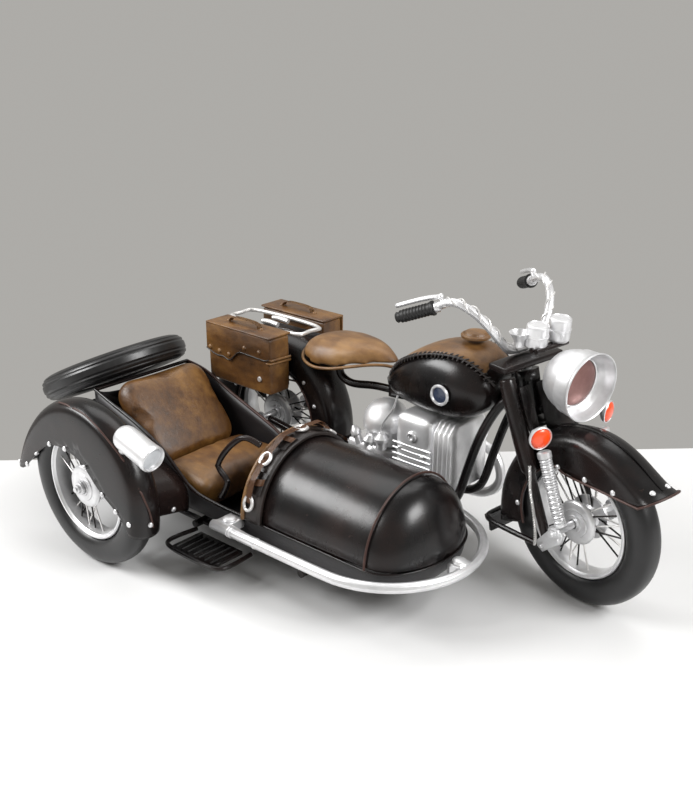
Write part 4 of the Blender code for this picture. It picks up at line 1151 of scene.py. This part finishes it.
# %% Saddle and sidecar pads
LEAN = math.radians(39.0)
back = rounded_pad(0.25, 1.44, 1.26, 0.26, 0.105, 0.085)
bmesh.ops.rotate(back, cent=(0, 0, 0), matrix=Matrix.Rotation(-LEAN, 3, "Y"), verts=back.verts)
stuffed("seat_back", BROWN, back, 0.020)
seat = rounded_pad(0.34, 1.46, 0.92, 0.12, 0.10, 0.055)
bmesh.ops.rotate(seat, cent=(0, 0, 0), matrix=Matrix.Rotation(-math.pi / 2, 3, "Y"), verts=seat.verts)
stuffed("seat_cushion", BROWN, seat, 0.020)
plain = welded("saddle")
low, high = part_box("saddle")
bmesh.ops.translate(plain, vec=-(low + high) / 2, verts=plain.verts)
bmesh.ops.scale(plain, vec=Vector((0.99, 0.97, 0.94)) / RADIUS, verts=plain.verts)
stuffed("saddle", TAN, plain, 0.012, voxel=0.020, pressure=2.5)
saddle_edge = [(-4.12, 0.16, 2.10), (-4.00, 0.35, 2.04), (-3.76, 0.445, 2.01), (-3.48, 0.445, 2.04),
               (-3.22, 0.355, 2.10), (-3.00, 0.235, 2.145), (-2.84, 0.135, 2.155), (-2.73, 0.06, 2.14)]
rim = [at(x, -y, z - 0.03) for x, y, z in saddle_edge]
rim += [at(x, y, z - 0.03) for x, y, z in reversed(saddle_edge)]
wires("saddle_piping", [flowing(rim, 5, closed=True)], 0.020, TAN, "bike", closed=True)

# %% [markdown]
# ## Panniers
#
# Each box is leather over tin. A flap folds over the top and down the outside, its lower
# edge cut in steps, held by five domed rivets. A flat strap handle stands on the lid. The
# edges of a narrow belt show on the front end, so they're two thin cords.

# %% Pannier flaps
PANNIER_BACK = -5.43
PANNIER_FRONT = -4.26
PANNIER_INNER = 0.318
PANNIER_OUTER = 0.705
PANNIER_TOP = 2.27
FLAP_THICK = 0.022


def pannier_flap(side, label):
    """The flap's outside, the cord along its cut edge, and its rivets."""
    face = PANNIER_OUTER * side
    outline = [(-5.435, 2.275), (-4.255, 2.275), (-4.255, 2.01), (-4.33, 1.985), (-4.60, 1.995),
               (-4.78, 2.00), (-4.84, 1.975), (-4.97, 1.855), (-5.02, 1.845), (-5.12, 1.875), (-5.22, 1.865), (-5.30, 1.88),
               (-5.38, 1.91), (-5.435, 1.93)]
    bm = bmesh.new()
    ring = [bm.verts.new(at(x, face + 0.001 * side, z)) for x, z in outline]
    front_face = bm.faces.new(ring)
    grown = bmesh.ops.extrude_face_region(bm, geom=[front_face])
    outer = [v for v in grown["geom"] if isinstance(v, bmesh.types.BMVert)]
    bmesh.ops.translate(bm, vec=(0, FLAP_THICK * side * RADIUS, 0), verts=outer)
    rounded_edges(bm, [e for e in bm.edges if e.calc_face_angle(0.0) > 1.0], 0.008 * RADIUS)
    piece(f"pannier_flap_{label}", bm, BROWN, "bike")
    edge = [at(x, face + 0.024 * side, z) for x, z in outline[2:]]
    wires(f"pannier_flap_edge_{label}", [edge], 0.009, DARK_HIDE, "bike")
    domes = [(at(x, face + 0.02 * side, z), Vector((0, side, 0)))
             for x, z in ((-5.36, 1.955), (-5.18, 1.935), (-5.00, 1.925), (-4.70, 2.075), (-4.43, 2.075))]
    studs(f"pannier_rivets_{label}", domes, 0.034, 0.024, TAN, "bike", sides=18)


# %% Pannier lids, handles and belts
def pannier_lid(side, label):
    outer = (PANNIER_OUTER + FLAP_THICK) * side
    inner = PANNIER_INNER * side
    low = at(PANNIER_BACK - 0.01, min(inner, outer), PANNIER_TOP + 0.002)
    high = at(PANNIER_FRONT + 0.01, max(inner, outer), PANNIER_TOP + 0.030)
    bm = rounded_block(high - low, 0.012 * RADIUS, 3)
    bmesh.ops.translate(bm, vec=(low + high) / 2, verts=bm.verts)
    piece(f"pannier_lid_{label}", bm, BROWN, "bike")


def pannier_handle(side, label):
    middle = 0.51 * side
    grip = flowing([at(-5.17, middle, 2.305), at(-5.15, middle, 2.345), at(-5.08, middle, 2.375),
                    at(-4.86, middle, 2.380), at(-4.70, middle, 2.370), at(-4.64, middle, 2.335),
                    at(-4.63, middle, 2.305)], 5)
    ribbon(f"pannier_handle_{label}", grip, [Vector((0, 1, 0))] * len(grip), 0.085, 0.026, TAN, "bike")
    feet = [(at(x, middle, 2.30), Vector((0, 0, 1))) for x in (-5.21, -4.59)]
    studs(f"pannier_handle_studs_{label}", feet, 0.032, 0.022, TAN, "bike")


def pannier_belt(side, label):
    lower = [at(PANNIER_FRONT + 0.014, y * side, 1.93 + 0.05 * (y - 0.35)) for y in (0.335, 0.45, 0.57, 0.70)]
    lower.append(at(PANNIER_FRONT - 0.05, (PANNIER_OUTER + 0.010) * side, 1.945))
    upper = [place + Vector((0, 0, 0.045 * RADIUS)) for place in lower]
    wires(f"pannier_belt_{label}", [lower, upper], 0.016, TAN, "bike")
    plate = [(0.0, 0.016), (0.030, 0.014), (0.036, 0.006), (0.036, 0.0), (0.0, 0.0)]
    spun(f"pannier_stud_{label}", plate, at(-4.45, PANNIER_OUTER * side, 1.70), (0, side, 0), SILVER, "bike",
         steps=24)


# %% Both panniers and the rack
for side, label in SIDES:
    refined(f"pannier_{label}", BROWN, crease=60.0)
    pannier_flap(side, label)
    pannier_lid(side, label)
    pannier_handle(side, label)
    pannier_belt(side, label)
    bm = rounded_block(RADIUS * Vector((1.10, 0.016, 0.56)), 0.005 * RADIUS)
    bmesh.ops.translate(bm, vec=at(-4.845, PANNIER_INNER * side, 1.835), verts=bm.verts)
    piece(f"pannier_inner_{label}", bm, DARK_HIDE, "bike")
refined("luggage_rack", WIRE, swell=0.002)
for side, label in reversed(SIDES):
    y = 0.10 * side
    clip = flowing([at(-4.98, y, 2.25), at(-4.86, y, 2.262), at(-4.70, y, 2.25)], 4)
    wires(f"rack_clip_{label}", [clip], 0.034, WIRE, "bike")

# %% [markdown]
# ## Sidecar
#
# The tub and the cowl are dark tin with the seams showing as thin raised lines. The
# cowl's rear rim is bound in leather. A lace runs along it through bright eyelets and
# round small leather tabs.

# %% Hull, cowl and seams
refined("sidecar_tub", GREY, crease=42.0)
refined("sidecar_cowl", BLACK, crease=50.0)


COWL_RISE = 1.0125
COWL_BASE = 0.806


def round_cowl(degrees, radius, x):
    """A place on the cowl: degrees from its near side, up and over."""
    swing = math.radians(degrees)
    return at(x, CAR_Y - radius * math.cos(swing), SEAM_Z + radius * COWL_RISE * math.sin(swing))


nose_seam = [round_cowl(180 * k / 32, 0.804, DOME_X) for k in range(33)]
wires("cowl_nose_seam", [nose_seam], 0.0125, EDGE, "bike")
seam_line = [at(x, CAR_Y - COWL_BASE, SEAM_Z - 0.006) for x in (-3.02, -2.6, -2.2, -1.8, DOME_X)]
for k in range(1, 24):
    swing = math.pi * k / 24
    seam_line.append(at(DOME_X + 0.506 * math.sin(swing), CAR_Y - COWL_BASE * math.cos(swing),
                        SEAM_Z - 0.006))
seam_line += [at(x, CAR_Y + COWL_BASE, SEAM_Z - 0.006) for x in (DOME_X, -1.8, -2.2, -2.6, -3.02)]
wires("cowl_base_seam", [seam_line], 0.0115, BLACK, "bike")
near_rim = [(-5.80, -0.78, 1.66), (-5.45, -0.80, 1.57), (-4.95, -0.80, 1.42), (-4.50, -0.80, 1.22),
            (-4.20, -0.80, 1.00), (-3.95, -0.80, 0.84), (-3.50, -0.80, 0.79), (-3.05, -0.80, 0.79)]
far_rim = [(-5.80, 0.78, 1.66), (-5.45, 0.80, 1.60), (-4.95, 0.80, 1.40), (-4.50, 0.80, 1.24),
           (-4.20, 0.80, 1.13), (-3.95, 0.80, 1.02), (-3.50, 0.80, 0.90), (-3.05, 0.80, 0.79)]
near_path = flowing([at(x, CAR_Y + y * 0.988, z + 0.004) for x, y, z in near_rim], 5)
far_path = flowing([at(x, CAR_Y + y * 0.988, z + 0.004) for x, y, z in far_rim], 5)
back_path = [at(-5.795, CAR_Y + y, 1.664) for y in (-0.77, -0.4, 0.0, 0.4, 0.77)]
wires("tub_rim", [near_path, back_path], 0.024, BLACK, "bike")
wires("tub_rim_far", [far_path], 0.020, EDGE, "bike")

# %% Leather band, eyelets and lace
refined("lace_strap", DARK_HIDE, crease=50.0)


def round_tangent(degrees):
    """The way along the band at an angle."""
    swing = math.radians(degrees)
    return Vector((0.0, math.sin(swing), math.cos(swing)))


BAND = 0.850
EYELET_WIDE = 0.062
EYELET_LONG = 0.082
roll = [round_cowl(degrees, BAND - 0.012, -3.052) for degrees in range(0, 181, 6)]
wires("cowl_rim_roll", [roll], 0.030, TAN, "bike")
eyelet_angles = (15, 51, 93, 129, 165)
for k, angle in enumerate(eyelet_angles):
    ring = []
    for step in range(28):
        swing = math.tau * step / 28
        across = EYELET_WIDE * math.cos(swing) * Vector((1, 0, 0))
        along = EYELET_LONG * math.sin(swing) * round_tangent(angle)
        ring.append(round_cowl(angle, BAND + 0.020, -2.955) + RADIUS * (across + along))
    wires(f"eyelet_{k}", [ring], 0.021, WIRE, "bike", closed=True)
for k, angle in enumerate((32, 72, 111, 147)):
    tab = [round_cowl(angle - 9, BAND + 0.022, -2.865), round_cowl(angle - 4, BAND + 0.030, -2.862),
           round_cowl(angle + 4, BAND + 0.030, -2.862), round_cowl(angle + 9, BAND + 0.022, -2.865)]
    ribbon(f"lace_tab_{k}", tab, [Vector((1, 0, 0))] * 4, 0.130, 0.020, DARK_HIDE, "bike")
    keeper = flowing([round_cowl(angle - 3, BAND + 0.012, -3.040), round_cowl(angle - 1, BAND + 0.052, -2.98),
                      round_cowl(angle, BAND + 0.058, -2.90), round_cowl(angle + 1, BAND + 0.046, -2.83),
                      round_cowl(angle + 2, BAND + 0.030, -2.80)], 4)
    ribbon(f"lace_keeper_{k}", keeper, [round_tangent(angle)] * len(keeper), 0.080, 0.020, LACE, "bike")
for k, (start, end) in enumerate(zip(eyelet_angles, eyelet_angles[1:])):
    middle = (start + end) / 2
    thong = flowing([round_cowl(start, BAND + 0.006, -2.955), round_cowl(start + 4, BAND + 0.040, -2.95),
                     round_cowl(middle - 6, BAND + 0.070, -2.93), round_cowl(middle, BAND + 0.095, -2.92),
                     round_cowl(middle + 6, BAND + 0.070, -2.93), round_cowl(end - 4, BAND + 0.040, -2.95),
                     round_cowl(end, BAND + 0.006, -2.955)], 5)
    ribbon(f"lace_{k}", thong, [Vector((1, 0, 0))] * len(thong), 0.082, 0.020, LACE, "bike")

# %% [markdown]
# ## Rail, step, grab rail and lamp
#
# The polished rail runs along the side and round the nose, with a polished cap at each
# end and small rings beside it. The step is a black pad with rubber ribs. The lamp is a
# small deep bowl on a post at the front of the mudguard.

# %% Rail and small fittings
refined("bumper_rail", SILVER, swell=0.0045)
cap = [(0.0, 0.030), (0.045, 0.028), (0.075, 0.018), (0.088, 0.004), (0.086, -0.012), (0.0, -0.014)]
spun("rail_cap_rear", cap, at(-3.17, CAR_Y - 0.94, 0.795), (0, 0, 1), SILVER, "bike", steps=32)
spun("rail_cap_nose", cap, at(-0.605, CAR_Y, 0.815), (0.2, 0, 1), SILVER, "bike", steps=32)
for k, x in enumerate((-3.02, -2.98, -2.60)):
    swings = [math.tau * s / 20 for s in range(20)]
    ring = [at(x, CAR_Y - 1.08 + 0.060 * math.cos(swing), 0.74 + 0.060 * math.sin(swing)) for swing in swings]
    wires(f"rail_ring_{k}", [ring], 0.007, SILVER, "bike", closed=True)
refined("step_plate", BLACK, crease=50.0)
pad_rows = []
for k in range(7):
    x = -3.73 + 0.097 * k
    pad_rows.append([at(x, CAR_Y - 1.28, 0.362), at(x, CAR_Y - 0.88, 0.362)])
wires("step_ribs", pad_rows, 0.012, GRIP, "bike")
refined("grab_rail", BLACK, swell=0.003)
for node in ("sidecar_axle", "rear_axle"):
    refined(node, SILVER)

# %% Sidecar lamp
LAMP_BACK = at(-3.93, -3.35, 1.92)
LAMP_FACING = (1, 0, -0.28)
lamp_shape = [(0.0, 0.0), (0.045, 0.003), (0.085, 0.012), (0.115, 0.032), (0.135, 0.062), (0.145, 0.100),
              (0.148, 0.150), (0.150, 0.505), (0.154, 0.512), (0.156, 0.535), (0.154, 0.568), (0.146, 0.578),
              (0.136, 0.574), (0.132, 0.560), (0.128, 0.536), (0.0, 0.530)]
refined("side_lamp", SILVER)
spun("side_lamp_body", lamp_shape, LAMP_BACK, LAMP_FACING, SILVER, "bike", steps=64)
lens = [(0.0, 0.562), (0.06, 0.560), (0.105, 0.553), (0.126, 0.543), (0.126, 0.532), (0.0, 0.531)]
spun("side_lamp_lens", lens, LAMP_BACK, LAMP_FACING, GLASS, "bike", steps=48)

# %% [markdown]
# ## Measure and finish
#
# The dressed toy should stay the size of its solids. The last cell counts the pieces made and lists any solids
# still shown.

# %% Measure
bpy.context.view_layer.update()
print(len(made), "pieces made")
undressed = [name for name, node in frame["nodes"].items() if not node.hide_render]
print("solids still shown:", undressed)
